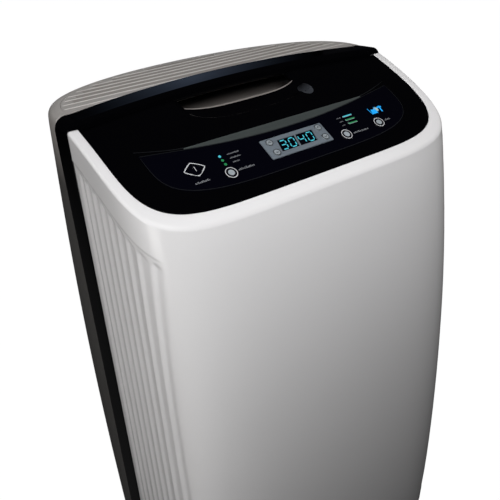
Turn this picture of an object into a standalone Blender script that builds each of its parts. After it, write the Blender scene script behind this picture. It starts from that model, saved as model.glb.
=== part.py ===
"""Portable upright dehumidifier on castors, as an assembly of its real pieces.

Every piece hangs under one empty. Its local y = 0 is the plane where the front shell
meets the handle band, -y is the front, and z = 0 is the floor.
"""
import math

import bmesh
import bpy
from mathutils import Matrix, Vector

# ---------------------------------------------------------------- driving dimensions
HALF_WIDTH = 0.190          # outer half width of the shell and the band
FRONT_DEPTH = 0.1325        # furthest bulge of the front shell
REAR_START = 0.0278         # y where the rear housing begins, behind the band
REAR_DEPTH = 0.1310         # furthest bulge of the rear housing, from REAR_START
REAR_HALF_WIDTH = 0.188
SHELL_BOTTOM = 0.022        # lower edge of the shells, above the floor
RIM_HEIGHT = 0.622          # rim height where it meets the band
BULGE_HEIGHT = 0.352        # height of the front bulge
REAR_BULGE_HEIGHT = 0.335
WALL = 0.0023               # moulded wall thickness
GAP = 0.0003                # running gap between touching pieces
RIM_WIDTH = 0.0104          # rim width from the outer edge to the top deck
DECK_DROP = 0.0010          # deck surface below the rim
DECK_THICK = 0.0025
DECK_SETBACK = 0.0021       # the deck's sloped rear edge stops this far before the bar
CORNER_POWER = 6.35         # superellipse power of the front corners
BAND_WIDTH = 0.0272         # y width of the band's legs
BAND_THICK = 0.0030
BAR_THICK = 0.0120
BAR_END_HEIGHT = 0.6295     # top of the handle bar at its ends
BAR_CROWN = 0.0045          # rise of the bar towards its middle
BAR_BOW_FRONT = 0.0115      # how far the bar's front edge bows backwards
BAR_BOW_REAR = 0.0175
BOW_HALF_WIDTH = 0.172      # the bow and crown of the bar fade out here
BAND_CORNER = 0.012         # outer corner radius of the band
LOUVRE_HEIGHT = 0.6305      # top louvre height beside the bar
LOUVRE_RISE = 0.0028        # further rise of the louvre towards the rear
LOUVRE_REACH = 0.075        # distance behind REAR_START over which it rises
LOUVRE_INSET = 0.0132       # louvre edge inside the housing's outer surface
SHOULDER_DROP = 0.012       # plan outline of the rear top is taken this far below the louvre
GRILLE_HALF_WIDTH = 0.125
GRILLE_Z = (0.315, 0.545)
BUCKET_HALF_WIDTH = 0.155
BUCKET_Z = (0.040, 0.275)
PANEL_HALF_WIDTH = 0.150
PANEL_POWER = 4.1           # superellipse power of the panel's front corners
PANEL_TIP = 0.0050          # the panel's side tips lie this far behind the crescent's ends
PANEL_CENTRE_Y = -0.045
PANEL_DEPTH = 0.0493
CRESCENT_HALF = 0.112
CRESCENT_Y = -0.0487
CRESCENT_DEPTH = 0.0078
DISPLAY_HALF = 0.0374
DISPLAY_Y = -0.0734
DISPLAY_HEIGHT = 0.0235     # along the slope of the deck
FAN_HEIGHT = 0.430          # axis of the blower
FAN_RADIUS = 0.088
BLADES = 20                 # blades of the blower wheel
BUTTON_RADIUS = 0.0062
LEVEL_RADIUS = 0.0036
CASTOR_RADIUS = 0.0115
CASTOR_TRAIL = 0.007
CASTORS = ((-0.145, -0.072), (0.145, -0.072), (-0.115, 0.070), (0.115, 0.070))
COMPRESSOR = (-0.060, -0.045)
STATIONS = 20               # sections around each shell
WALL_ROWS = 6               # straight rows between the rim and the foot
FRAME_Y = (FRONT_DEPTH - REAR_START - REAR_DEPTH) / 2

# Edge sections as (inset from the outer surface, drop or rise), rim to wall or wall to foot.
RIM_SECTION = ((0.0100, 0.0004), (0.0070, 0.0), (0.0030, 0.0), (0.0009, 0.0009), (0.0, 0.0030))
REAR_SECTION = ((0.0120, 0.0006), (0.0070, 0.0010), (0.0030, 0.0028), (0.0008, 0.0065),
                (0.0, 0.0130))
FOOT_SECTION = ((0.0, 0.0100), (0.0020, 0.0040), (0.0060, 0.0005), (0.0120, 0.0))

# Places on the deck, in x and y.
BUTTONS = {
    "power_button": (-0.1123, -0.0704),
    "settings_button": (-0.0836, -0.0825),
    "fan_speed_button": (0.0552, -0.0824),
    "pump_button": (0.1015, -0.0811),
}
LEVEL_BUTTONS = {
    "humidity_up_button": (-0.0292, -0.0680),
    "humidity_down_button": (-0.0292, -0.0785),
    "timer_up_button": (0.0305, -0.0680),
    "timer_down_button": (0.0305, -0.0785),
}
MODE_LIGHTS = [(-0.0829, -0.0656), (-0.0829, -0.0697), (-0.0829, -0.0738)]
FAN_LIGHTS = [(0.0736, -0.0645), (0.0736, -0.0686), (0.0736, -0.0727)]
PUMP_LIGHT = (0.1124, -0.0671)

PARTS = None
CUTTERS = None
ROOT = None
MATERIALS = {}


# ---------------------------------------------------------------- scene and materials
def clear_scene():
    for obj in list(bpy.data.objects):
        bpy.data.objects.remove(obj, do_unlink=True)


def make_collections():
    global PARTS, CUTTERS, ROOT
    PARTS = bpy.data.collections.new("dehumidifier")
    CUTTERS = bpy.data.collections.new("cutters")
    for collection in (PARTS, CUTTERS):
        bpy.context.scene.collection.children.link(collection)
    ROOT = bpy.data.objects.new("frame", None)
    ROOT.location = (0.0, FRAME_Y, 0.0)
    PARTS.objects.link(ROOT)


def material(name, colour, roughness, metallic=0.0):
    mat = bpy.data.materials.new(name)
    mat.use_nodes = True
    shader = mat.node_tree.nodes["Principled BSDF"]
    shader.inputs["Base Color"].default_value = (*colour, 1.0)
    shader.inputs["Roughness"].default_value = roughness
    shader.inputs["Metallic"].default_value = metallic
    mat.diffuse_color = (*colour, 1.0)
    MATERIALS[name] = mat


def make_materials():
    material("white_shell", (0.80, 0.80, 0.82), 0.18)
    material("black_gloss", (0.012, 0.012, 0.015), 0.10)
    material("grey_housing", (0.36, 0.35, 0.34), 0.45)
    material("dark_plastic", (0.05, 0.05, 0.055), 0.50)
    material("silver_trim", (0.50, 0.53, 0.56), 0.30, 0.6)
    material("graphite_trim", (0.08, 0.09, 0.09), 0.35)
    material("light_guide", (0.55, 0.85, 0.85), 0.25)
    material("bucket_plastic", (0.70, 0.72, 0.74), 0.35)
    material("filter_net", (0.10, 0.10, 0.11), 0.80)
    material("aluminium_fin", (0.66, 0.67, 0.68), 0.40, 1.0)
    material("copper_tube", (0.72, 0.40, 0.27), 0.35, 1.0)
    material("steel_black", (0.03, 0.03, 0.03), 0.40, 0.3)
    material("steel_plain", (0.55, 0.56, 0.57), 0.35, 1.0)
    material("rubber", (0.03, 0.03, 0.03), 0.85)
    material("board_green", (0.02, 0.18, 0.07), 0.50)


# ---------------------------------------------------------------- object helpers
def add_object(name, data, mat, smooth=False):
    obj = bpy.data.objects.new(name, data)
    PARTS.objects.link(obj)
    obj.parent = ROOT
    data.materials.append(MATERIALS[mat])
    if smooth:
        data.shade_smooth()
        data.set_sharp_from_angle(angle=math.radians(35))
    return obj


def add_bmesh(name, bm, mat, smooth=False):
    mesh = bpy.data.meshes.new(name)
    bmesh.ops.recalc_face_normals(bm, faces=bm.faces)
    bm.to_mesh(mesh)
    bm.free()
    return add_object(name, mesh, mat, smooth)


def as_cutter(obj):
    PARTS.objects.unlink(obj)
    CUTTERS.objects.link(obj)
    obj.hide_render = True
    obj.display_type = "WIRE"
    return obj


def boolean(target, tool, operation="DIFFERENCE"):
    if tool.name not in CUTTERS.objects:
        as_cutter(tool)
    modifier = target.modifiers.new(tool.name, "BOOLEAN")
    modifier.operation = operation
    modifier.object = tool
    modifier.solver = "EXACT"
    return target


def solidify(obj, thickness):
    modifier = obj.modifiers.new("wall", "SOLIDIFY")
    modifier.thickness = thickness
    modifier.offset = -1.0
    return obj


def bevel(obj, width, segments=2, angle=50):
    modifier = obj.modifiers.new("edges", "BEVEL")
    modifier.width = width
    modifier.segments = segments
    modifier.limit_method = "ANGLE"
    modifier.angle_limit = math.radians(angle)
    return obj


def span_box(name, low, high, mat="dark_plastic"):
    """A box between two corners, its origin at its centre."""
    low, high = Vector(low), Vector(high)
    bm = bmesh.new()
    bmesh.ops.create_cube(bm, size=1.0)
    bmesh.ops.scale(bm, vec=high - low, verts=bm.verts)
    obj = add_bmesh(name, bm, mat)
    obj.location = (low + high) / 2
    return obj


def boxes(name, spans, mat="dark_plastic"):
    """Several separate boxes in one object, used as one cutter."""
    bm = bmesh.new()
    for low, high in spans:
        low, high = Vector(low), Vector(high)
        place = Matrix.Translation((low + high) / 2) @ Matrix.Diagonal((*(high - low), 1.0))
        bmesh.ops.create_cube(bm, size=1.0, matrix=place)
    return add_bmesh(name, bm, mat)


def cylinder(name, radius, low, high, centre, axis="Z", mat="dark_plastic", segments=24):
    """A cylinder from low to high along its axis, centred at the other two coordinates."""
    bm = bmesh.new()
    bmesh.ops.create_cone(bm, cap_ends=True, segments=segments, radius1=radius,
                          radius2=radius, depth=high - low)
    obj = add_bmesh(name, bm, mat, smooth=True)
    middle = (low + high) / 2
    if axis == "Z":
        obj.location = (centre[0], centre[1], middle)
    elif axis == "Y":
        obj.location = (centre[0], middle, centre[1])
        obj.rotation_euler = (math.pi / 2, 0.0, 0.0)
    else:
        obj.location = (middle, centre[0], centre[1])
        obj.rotation_euler = (0.0, math.pi / 2, 0.0)
    return obj


def turned(name, profile, mat, segments=20):
    """A body of revolution about Z from (radius, height) points, top to bottom."""
    mesh = bpy.data.meshes.new(name)
    points = [(radius, 0.0, height) for radius, height in profile]
    edges = [(i, i + 1) for i in range(len(points) - 1)]
    mesh.from_pydata(points, edges, [])
    obj = add_object(name, mesh, mat)
    screw = obj.modifiers.new("turn", "SCREW")
    screw.steps = segments
    screw.render_steps = segments
    screw.use_merge_vertices = True
    screw.merge_threshold = 0.00001
    screw.use_smooth_shade = True
    return obj


def plate(name, outline, low, high, mat, axis="Z"):
    """A flat outline extruded from low to high along an axis.

    The outline is (x, y) for Z, (x, z) for Y and (y, z) for X.
    """
    curve = bpy.data.curves.new(name, "CURVE")
    curve.dimensions = "2D"
    curve.fill_mode = "BOTH"
    curve.extrude = (high - low) / 2
    spline = curve.splines.new("POLY")
    spline.points.add(len(outline) - 1)
    for point, (u, v) in zip(spline.points, outline):
        point.co = (u, v, 0.0, 1.0)
    spline.use_cyclic_u = True
    source = bpy.data.objects.new(name + "_outline", curve)
    bpy.context.scene.collection.objects.link(source)
    graph = bpy.context.evaluated_depsgraph_get()
    mesh = bpy.data.meshes.new_from_object(source.evaluated_get(graph))
    bpy.data.objects.remove(source, do_unlink=True)
    bm = bmesh.new()
    bm.from_mesh(mesh)
    bmesh.ops.remove_doubles(bm, verts=bm.verts, dist=0.00001)
    obj = add_bmesh(name, bm, mat)
    middle = (low + high) / 2
    if axis == "Z":
        obj.location.z = middle
    elif axis == "Y":
        obj.location.y = middle
        obj.rotation_euler = (math.pi / 2, 0.0, 0.0)
    else:
        obj.location.x = middle
        obj.rotation_euler = (math.pi / 2, 0.0, math.pi / 2)
    return obj


def tube(name, points, radius, mat):
    """A round wire or pipe through smoothed points."""
    curve = bpy.data.curves.new(name, "CURVE")
    curve.dimensions = "3D"
    curve.bevel_depth = radius
    curve.bevel_resolution = 1
    curve.use_fill_caps = True
    spline = curve.splines.new("POLY")
    route = rounded_route(points)
    spline.points.add(len(route) - 1)
    for point, place in zip(spline.points, route):
        point.co = (*place, 1.0)
    return add_object(name, curve, mat)


def rounded_route(points, bend=0.014, steps=2):
    """The points as a route whose inner corners are rounded."""
    places = [Vector(p) for p in points]
    route = [places[0]]
    for before, corner, after in zip(places, places[1:], places[2:]):
        reach = min(bend, (corner - before).length * 0.45, (after - corner).length * 0.45)
        start = corner + (before - corner).normalized() * reach
        end = corner + (after - corner).normalized() * reach
        for step in range(steps + 1):
            t = step / steps
            route.append(start.lerp(corner, t).lerp(corner.lerp(end, t), t))
    route.append(places[-1])
    return route


def loft(name, rows, mat, closed=False, capped=False, smooth=True):
    """A skin between rows of points of equal count, in flat triangles so that cuts stay clean."""
    bm = bmesh.new()
    grid = [[bm.verts.new(p) for p in row] for row in rows]
    count = len(rows[0])
    for upper, lower in zip(grid, grid[1:]):
        for i in range(count if closed else count - 1):
            j = (i + 1) % count
            bm.faces.new((upper[i], upper[j], lower[j], lower[i]))
    if capped:
        bm.faces.new(grid[0])
        bm.faces.new(reversed(grid[-1]))
    bmesh.ops.triangulate(bm, faces=bm.faces)
    return add_bmesh(name, bm, mat, smooth)


# ---------------------------------------------------------------- shape rules
def power(value, exponent):
    return math.copysign(abs(value) ** exponent, value)


def rim_z(y):
    """Height of the sloping rim and deck at a distance y from the band plane."""
    return RIM_HEIGHT + 0.430 * y - 1.402 * y * y


def rim_slope(y):
    return math.atan(0.430 - 2.804 * y)


def front_bulge(z):
    rise = z - BULGE_HEIGHT
    return FRONT_DEPTH - (0.34 if rise > 0 else 0.19) * rise * rise


def front_point(angle, z, inset=0.0):
    exponent = 2 / CORNER_POWER
    x = -(HALF_WIDTH - inset) * power(math.cos(angle), exponent)
    y = -(front_bulge(z) - inset) * power(math.sin(angle), exponent)
    return x, y


def rim_point(angle, inset=0.0):
    """Plan point and height of the rim, where the outline meets the sloping deck."""
    z = RIM_HEIGHT
    for _ in range(8):
        x, y = front_point(angle, z, inset)
        z = rim_z(y)
    return x, y, z


def rear_bulge(z):
    rise = z - REAR_BULGE_HEIGHT
    return REAR_DEPTH - (0.28 if rise > 0 else 0.25) * rise * rise


def rear_power(z):
    return 2.6 - 6.0 * (z - REAR_BULGE_HEIGHT) ** 2


def rear_point(angle, z, inset=0.0):
    exponent = 2 / rear_power(z)
    x = (REAR_HALF_WIDTH - inset) * power(math.cos(angle), exponent)
    y = REAR_START + (rear_bulge(z) - inset) * power(math.sin(angle), exponent)
    return x, y


def louvre_z(y):
    """Height of the rear top at a distance y: a short rise that levels out."""
    t = min(1.0, (y - REAR_START) / LOUVRE_REACH)
    return LOUVRE_HEIGHT + LOUVRE_RISE * (2 * t - t * t)


def bow(x, depth):
    return depth * max(0.0, 1 - (x / BOW_HALF_WIDTH) ** 2)


def bar_front(x):
    return GAP + bow(x, BAR_BOW_FRONT)


def bar_rear(x):
    return GAP + BAND_WIDTH + bow(x, BAR_BOW_REAR)


def rear_angles():
    return [math.pi * i / STATIONS for i in range(STATIONS + 1)]


def side_angle(share):
    """Angle at which the front outline has reached this share of its depth."""
    return math.asin(share ** (CORNER_POWER / 2))


def face_angle(share):
    """Angle at which the front outline has come in to this share of its half width."""
    return math.acos(share ** (CORNER_POWER / 2))


def quarter_angles(corner_steps=6):
    """Angles from the band to the middle of the front, closest together at the corner."""
    sides = [side_angle(share) for share in (0.0, 0.2, 0.4, 0.6, 0.75)]
    faces = [face_angle(share) for share in (0.65, 0.33, 0.0)]
    step = (faces[0] - sides[-1]) / corner_steps
    corner = [sides[-1] + step * i for i in range(1, corner_steps)]
    return sides + corner + faces


def front_angles():
    quarter = quarter_angles()
    return quarter + [math.pi - angle for angle in reversed(quarter[:-1])]


def inner_outline(z, inset):
    """Closed plan outline inside both shells at one height."""
    front = [front_point(a, z, inset) for a in front_angles()]
    rear = [rear_point(a, z, inset) for a in rear_angles()]
    return front + rear


def mirrored(half):
    """A right-hand outline, listed from its front to its rear, closed by its mirror image."""
    return half + [(-x, y) for x, y in reversed(half)]


# ---------------------------------------------------------------- casing
def make_front_shell():
    columns = []
    for angle in front_angles():
        column = []
        for inset, drop in RIM_SECTION:
            x, y, z = rim_point(angle, inset)
            column.append((x, y, z - drop))
        top = column[-1][2]
        foot = SHELL_BOTTOM + FOOT_SECTION[0][1]
        for row in range(1, WALL_ROWS):
            z = top + (foot - top) * row / WALL_ROWS
            column.append((*front_point(angle, z), z))
        for inset, rise in FOOT_SECTION:
            z = SHELL_BOTTOM + rise
            column.append((*front_point(angle, z, inset), z))
        columns.append(column)
    shell = solidify(loft("front_shell", columns, "white_shell"), WALL)
    boolean(shell, span_box("front_trim", (-0.3, 0.0, 0.0), (0.3, 0.1, 0.7)))


def rear_columns():
    columns = []
    for angle in rear_angles():
        column = []
        for inset, drop in REAR_SECTION:
            x, y = rear_point(angle, LOUVRE_HEIGHT - SHOULDER_DROP, inset)
            column.append((x, y, louvre_z(y) - drop))
        top = column[-1][2]
        foot = SHELL_BOTTOM + FOOT_SECTION[0][1]
        for row in range(1, WALL_ROWS):
            z = top + (foot - top) * row / WALL_ROWS
            column.append((*rear_point(angle, z), z))
        for inset, rise in FOOT_SECTION:
            z = SHELL_BOTTOM + rise
            column.append((*rear_point(angle, z, inset), z))
        columns.append(column)
    return columns


def opening_box(name, half_width, heights, margin, front=0.070):
    """A box that cuts or keeps the part of the rear wall inside an opening."""
    low = (-half_width + margin, front, heights[0] + margin)
    high = (half_width - margin, 0.20, heights[1] - margin)
    return span_box(name, low, high)


def make_rear_housing():
    housing = solidify(loft("rear_housing", rear_columns(), "grey_housing"), WALL)
    boolean(housing, span_box("rear_trim", (-0.3, -0.1, 0.0), (0.3, REAR_START, 0.7)))
    boolean(housing, opening_box("grille_opening", GRILLE_HALF_WIDTH, GRILLE_Z, 0.0))
    boolean(housing, opening_box("bucket_opening", BUCKET_HALF_WIDTH, BUCKET_Z, 0.0))
    boolean(housing, cylinder("drain_hole", 0.0085, 0.10, 0.18, (0.100, 0.295), "Y"))
    boolean(housing, cylinder("gland_hole", 0.0075, 0.10, 0.18, (-0.100, 0.295), "Y"))


def make_rear_grille():
    grille = solidify(loft("rear_grille", rear_columns(), "grey_housing"), WALL)
    boolean(grille, opening_box("grille_keep", GRILLE_HALF_WIDTH, GRILLE_Z, 0.0006), "INTERSECT")
    slots = []
    for row in range(7):
        low = GRILLE_Z[0] + 0.018 + row * 0.0288
        for left in (-0.113, 0.003):
            slots.append(((left, 0.07, low), (left + 0.110, 0.20, low + 0.0200)))
    boolean(grille, boxes("grille_slots", slots))


def make_filter():
    frame = span_box("filter_frame", (-0.118, 0.1205, 0.322), (0.118, 0.1235, 0.538), "filter_net")
    pockets = []
    for column in range(4):
        for row in range(3):
            low = (-0.113 + column * 0.0570, 0.1200, 0.327 + row * 0.0695)
            pockets.append((low, (low[0] + 0.0540, 0.1228, low[2] + 0.0665)))
    boolean(frame, boxes("filter_pockets", pockets))


def louvre_reach(y):
    """Half width of the louvre at a distance y behind the band plane."""
    height = LOUVRE_HEIGHT - SHOULDER_DROP
    exponent = rear_power(height)
    depth = (y - REAR_START) / (rear_bulge(height) - LOUVRE_INSET)
    return (REAR_HALF_WIDTH - LOUVRE_INSET) * (1 - depth ** exponent) ** (1 / exponent)


def make_top_louvre():
    rows = []
    for row in range(6):
        t = row / 5
        line = []
        for k in range(-6, 7):
            angle = math.pi / 2 * (1 - k / 6)
            x, back = rear_point(angle, LOUVRE_HEIGHT - SHOULDER_DROP, LOUVRE_INSET)
            front = bar_rear(x) + 3 * GAP
            y = front + (max(back, front + 0.002) - front) * t
            line.append((x, y, louvre_z(y) - 0.0008))
        rows.append(line)
    louvre = solidify(loft("top_louvre", rows, "grey_housing"), 0.0030)
    slots = []
    for row in range(6):
        y = 0.0535 + row * 0.0118
        reach = louvre_reach(y + 0.0068) - 0.010
        slots.append(((-reach, y, 0.55), (reach, y + 0.0068, 0.70)))
    boolean(louvre, boxes("louvre_slots", slots))


def band_stations():
    """Outer point, inward direction and thickness along the band, left foot to right foot."""
    stations = [((-HALF_WIDTH, z), (1.0, 0.0), BAND_THICK) for z in (0.024, 0.22, 0.42, 0.600)]
    shoulder_x = -HALF_WIDTH + BAND_CORNER
    shoulder_z = BAR_END_HEIGHT - BAND_CORNER
    for step in range(6):
        turn = math.pi / 2 * step / 5
        outer = (shoulder_x - BAND_CORNER * math.cos(turn),
                 shoulder_z + BAND_CORNER * math.sin(turn))
        thick = BAND_THICK + (BAR_THICK - BAND_THICK) * step / 5
        stations.append((outer, (math.cos(turn), -math.sin(turn)), thick))
    for step in range(7):
        x = -BOW_HALF_WIDTH * (1 - step / 7)
        stations.append(((x, BAR_END_HEIGHT + bow(x, BAR_CROWN)), (0.0, -1.0), BAR_THICK))
    middle = ((0.0, BAR_END_HEIGHT + BAR_CROWN), (0.0, -1.0), BAR_THICK)
    right = [((-p[0], p[1]), (-d[0], d[1]), thick) for p, d, thick in reversed(stations)]
    return stations + [middle] + right


def make_handle_band():
    chamfer = 0.0009
    rows = []
    for (x, z), (dx, dz), thick in band_stations():
        front, rear = bar_front(x), bar_rear(x)
        section = ((0, front + chamfer), (0, rear - chamfer), (chamfer, rear),
                   (thick - chamfer, rear), (thick, rear - chamfer), (thick, front + chamfer),
                   (thick - chamfer, front), (chamfer, front))
        rows.append([(x + dx * depth, y, z + dz * depth) for depth, y in section])
    loft("handle_band", rows, "black_gloss", closed=True, capped=True)


def make_handle_cup():
    cup = span_box("handle_cup", (-0.082, -0.0150, 0.588), (0.082, 0.0460, 0.6108))
    boolean(cup, span_box("cup_hollow", (-0.080, -0.0130, 0.590), (0.080, 0.0440, 0.63)))


# ---------------------------------------------------------------- top deck and controls
def deck_rows():
    rows = []
    for angle in quarter_angles()[:-1]:
        x_edge, y_row, _ = rim_point(angle, RIM_WIDTH)
        line = []
        for k in range(-6, 7):
            x = -x_edge * k / 6
            y = y_row + max(0.0, 1 + y_row / 0.03) * (bar_front(x) - DECK_SETBACK)
            line.append((x, y, rim_z(y) - DECK_DROP))
        rows.append(line)
    return rows


def panel_outline(margin):
    """Boat-shaped panel: a rounded front and sides, its rear edge under the crescent."""
    half = []
    for step in range(13):
        angle = math.pi / 2 * step / 12
        x = (PANEL_HALF_WIDTH + margin) * math.sin(angle) ** (2 / PANEL_POWER)
        y = PANEL_CENTRE_Y - (PANEL_DEPTH + margin) * math.cos(angle) ** (2 / PANEL_POWER)
        half.append((x, y))
    half[-1] = (PANEL_HALF_WIDTH + margin, CRESCENT_Y + PANEL_TIP + margin)
    for step in range(9):
        x = CRESCENT_HALF * (1 - step / 8)
        dip = CRESCENT_DEPTH * (1 - (x / CRESCENT_HALF) ** 2)
        half.append((x, CRESCENT_Y - dip + margin))
    return half


def crescent_outline(margin):
    half = []
    for step in range(9):
        x = (CRESCENT_HALF - 0.004 + margin) * step / 8
        dip = CRESCENT_DEPTH * (1 - (x / CRESCENT_HALF) ** 2)
        half.append((x, CRESCENT_Y - dip - margin))
    half.append(((CRESCENT_HALF - 0.004 + margin), CRESCENT_Y + 0.0003 + margin))
    return half


def pocket_outline():
    """Lens-shaped finger opening in front of the bar, open at the deck's rear edge."""
    middle, reach = -0.010, 0.066
    outline = []
    for step in range(17):
        s = -1 + step / 8
        outline.append((middle + reach * s, -0.0115 + 0.0080 * s ** 4))
    return outline + [(middle + reach, 0.03), (middle - reach, 0.03)]


def on_deck(y, above=0.0):
    """Point on the panel's surface at x = 0, and the tilt of the surface there."""
    tilt = rim_slope(y)
    z = rim_z(y) - DECK_DROP
    return Vector((0.0, y - above * math.sin(tilt), z + above * math.cos(tilt))), tilt


def place_on_deck(obj, x, y, above=0.0):
    place, tilt = on_deck(y, above)
    obj.location = (x, place.y, place.z)
    obj.rotation_euler = (tilt, 0.0, 0.0)
    return obj


def deck_cylinder(name, radius, x, y, low, high, segments=20, mat="dark_plastic"):
    """A cylinder standing square to the deck, between two heights over its surface."""
    bm = bmesh.new()
    bmesh.ops.create_cone(bm, cap_ends=True, segments=segments, radius1=radius,
                          radius2=radius, depth=high - low)
    return place_on_deck(add_bmesh(name, bm, mat, smooth=True), x, y, (low + high) / 2)


def deck_box(name, size, x, y, low, high, mat="dark_plastic"):
    """A box square to the deck, size across and along the slope, between two heights."""
    bm = bmesh.new()
    bmesh.ops.create_cube(bm, size=1.0)
    bmesh.ops.scale(bm, vec=(size[0], size[1], high - low), verts=bm.verts)
    return place_on_deck(add_bmesh(name, bm, mat), x, y, (low + high) / 2)


def make_top_deck():
    deck = solidify(loft("top_deck", deck_rows(), "black_gloss"), DECK_THICK)
    opening = mirrored(panel_outline(0.0003))
    boolean(deck, plate("panel_opening", opening, 0.50, 0.66, "dark_plastic"))
    slot = mirrored(crescent_outline(0.0003))
    boolean(deck, plate("crescent_opening", slot, 0.50, 0.66, "dark_plastic"))
    boolean(deck, plate("pocket_opening", pocket_outline(), 0.50, 0.66, "dark_plastic"))


def make_control_panel():
    panel = solidify(loft("control_panel", deck_rows(), "black_gloss"), DECK_THICK)
    keep = mirrored(panel_outline(0.0))
    boolean(panel, plate("panel_keep", keep, 0.50, 0.66, "dark_plastic"), "INTERSECT")
    boolean(panel, plate("panel_crescent", mirrored(crescent_outline(0.0003)), 0.50, 0.66,
                         "dark_plastic"))
    for name, (x, y) in BUTTONS.items():
        hole = deck_cylinder(name + "_hole", BUTTON_RADIUS + 0.0004, x, y, -0.01, 0.01, 16)
        boolean(panel, hole)
    window = deck_box("display_hole", (2 * DISPLAY_HALF + 0.0006, DISPLAY_HEIGHT + 0.0006),
                      0.0, DISPLAY_Y, -0.01, 0.01)
    boolean(panel, window)
    for index, (x, y) in enumerate(MODE_LIGHTS):
        boolean(panel, deck_cylinder(f"mode_hole_{index}", 0.0015, x, y, -0.01, 0.01, 8))
    for index, (x, y) in enumerate(FAN_LIGHTS):
        boolean(panel, deck_box(f"fan_hole_{index}", (0.0126, 0.0022), x, y, -0.01, 0.01))
    boolean(panel, deck_cylinder("pump_hole", 0.0034, *PUMP_LIGHT, -0.01, 0.01, 14))


def make_crescent():
    trim = solidify(loft("crescent_trim", deck_rows(), "graphite_trim"), DECK_THICK)
    keep = mirrored(crescent_outline(0.0))
    boolean(trim, plate("crescent_keep", keep, 0.50, 0.66, "dark_plastic"), "INTERSECT")


def make_display():
    bezel = deck_box("display_bezel", (2 * DISPLAY_HALF, DISPLAY_HEIGHT), 0.0, DISPLAY_Y,
                     -0.0022, 0.0008, "silver_trim")
    for side, x in (("left", -0.0112), ("right", 0.0112)):
        boolean(bezel, deck_box(f"window_{side}", (0.0212, 0.0146), x, DISPLAY_Y, -0.01, 0.01))
    glass = deck_box("display_glass", (0.0450, 0.0170), 0.0, DISPLAY_Y, -0.0045, -0.0025,
                     "black_gloss")
    for side, x in (("left", -0.0112), ("right", 0.0112)):
        pad = deck_box(f"glass_pad_{side}", (0.0204, 0.0138), x, DISPLAY_Y, -0.0035, 0.0004)
        boolean(glass, pad, "UNION")
    for name, (x, y) in LEVEL_BUTTONS.items():
        hole = deck_cylinder(name + "_hole", LEVEL_RADIUS + GAP, x, y, -0.01, 0.01, 12)
        boolean(bezel, hole)


def button_profile(radius, top, flange):
    """Cap with a rounded edge and a retaining flange under the panel."""
    return ((0.0, top), (radius - 0.0006, top), (radius, top - 0.0005), (radius, -0.0044),
            (flange, -0.0044), (flange, -0.0054), (0.0018, -0.0054), (0.0018, -0.0062),
            (0.0, -0.0062))


def make_buttons():
    for name, (x, y) in BUTTONS.items():
        cap = turned(name, button_profile(BUTTON_RADIUS, 0.0007, BUTTON_RADIUS + 0.0012),
                     "black_gloss", 14)
        place_on_deck(cap, x, y)
    for name, (x, y) in LEVEL_BUTTONS.items():
        cap = turned(name, button_profile(LEVEL_RADIUS, 0.0016, LEVEL_RADIUS + 0.0008),
                     "black_gloss", 10)
        place_on_deck(cap, x, y)


def light_guide(name, lights, pips, base_size, centre_y):
    """A base under the panel with one pip up into each hole: one size is a radius, two a box."""
    x = lights[0][0]
    base = deck_box(name, base_size, x, centre_y, -0.0058, -0.0040, "light_guide")
    for index, (px, py) in enumerate(lights):
        if len(pips) == 1:
            pip = deck_cylinder(f"{name}_pip_{index}", pips[0], px, py, -0.0050, -0.0001, 10)
        else:
            pip = deck_box(f"{name}_pip_{index}", pips, px, py, -0.0050, -0.0001)
        boolean(base, pip, "UNION")


def make_light_guides():
    light_guide("mode_light_guide", MODE_LIGHTS, (0.0012,), (0.0036, 0.0140), -0.0697)
    light_guide("fan_light_guide", FAN_LIGHTS, (0.0120, 0.0016), (0.0126, 0.0140), -0.0686)
    light_guide("pump_light_guide", [PUMP_LIGHT], (0.0031,), (0.0075, 0.0075), PUMP_LIGHT[1])


def make_control_board():
    board = deck_box("control_board", (0.250, 0.036), 0.0, -0.0745, -0.0106, -0.0090,
                     "board_green")
    for index, x in enumerate((-0.06, 0.02, 0.085)):
        chip = deck_box(f"board_chip_{index}", (0.016, 0.012), x, -0.0745, -0.0140, -0.0100)
        boolean(board, chip, "UNION")


# ---------------------------------------------------------------- bucket
def rear_solid(name, inset, heights):
    """Solid that fills the rear half of the casing, inset from the outer surface."""
    rows = []
    count = 8
    for row in range(count + 1):
        z = heights[0] + (heights[1] - heights[0]) * row / count
        rows.append([(*rear_point(a, z, inset), z) for a in rear_angles()])
    return as_cutter(loft(name, rows, "dark_plastic", closed=True, capped=True))


def make_bucket():
    fit = 0.0006
    reach = BUCKET_HALF_WIDTH - fit
    low, high = BUCKET_Z[0] + fit, BUCKET_Z[1] - fit
    bucket = span_box("bucket", (-reach, 0.040, low), (reach, 0.200, high), "bucket_plastic")
    boolean(bucket, rear_solid("bucket_face", 0.0, (low - 0.01, high + 0.01)), "INTERSECT")
    hollow = span_box("bucket_hollow", (WALL - reach, 0.040 + WALL, low + WALL),
                      (reach - WALL, 0.198, high + 0.02))
    boolean(hollow, rear_solid("bucket_inner", WALL, (low - 0.01, high + 0.03)), "INTERSECT")
    boolean(bucket, hollow)
    boolean(bucket, span_box("bucket_grip", (-0.045, 0.130, 0.2250), (0.045, 0.175, 0.2480)))


def make_bucket_handle():
    """A bail folded forward; its origin is on the line between its two pivots."""
    reach, arm = 0.1440, 0.030
    points = [(-reach, 0.0, 0.0), (-reach, -arm, 0.0), (reach, -arm, 0.0), (reach, 0.0, 0.0)]
    bail = tube("bucket_handle", points, 0.0028, "dark_plastic")
    bail.location = (0.0, 0.098, 0.2540)


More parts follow.
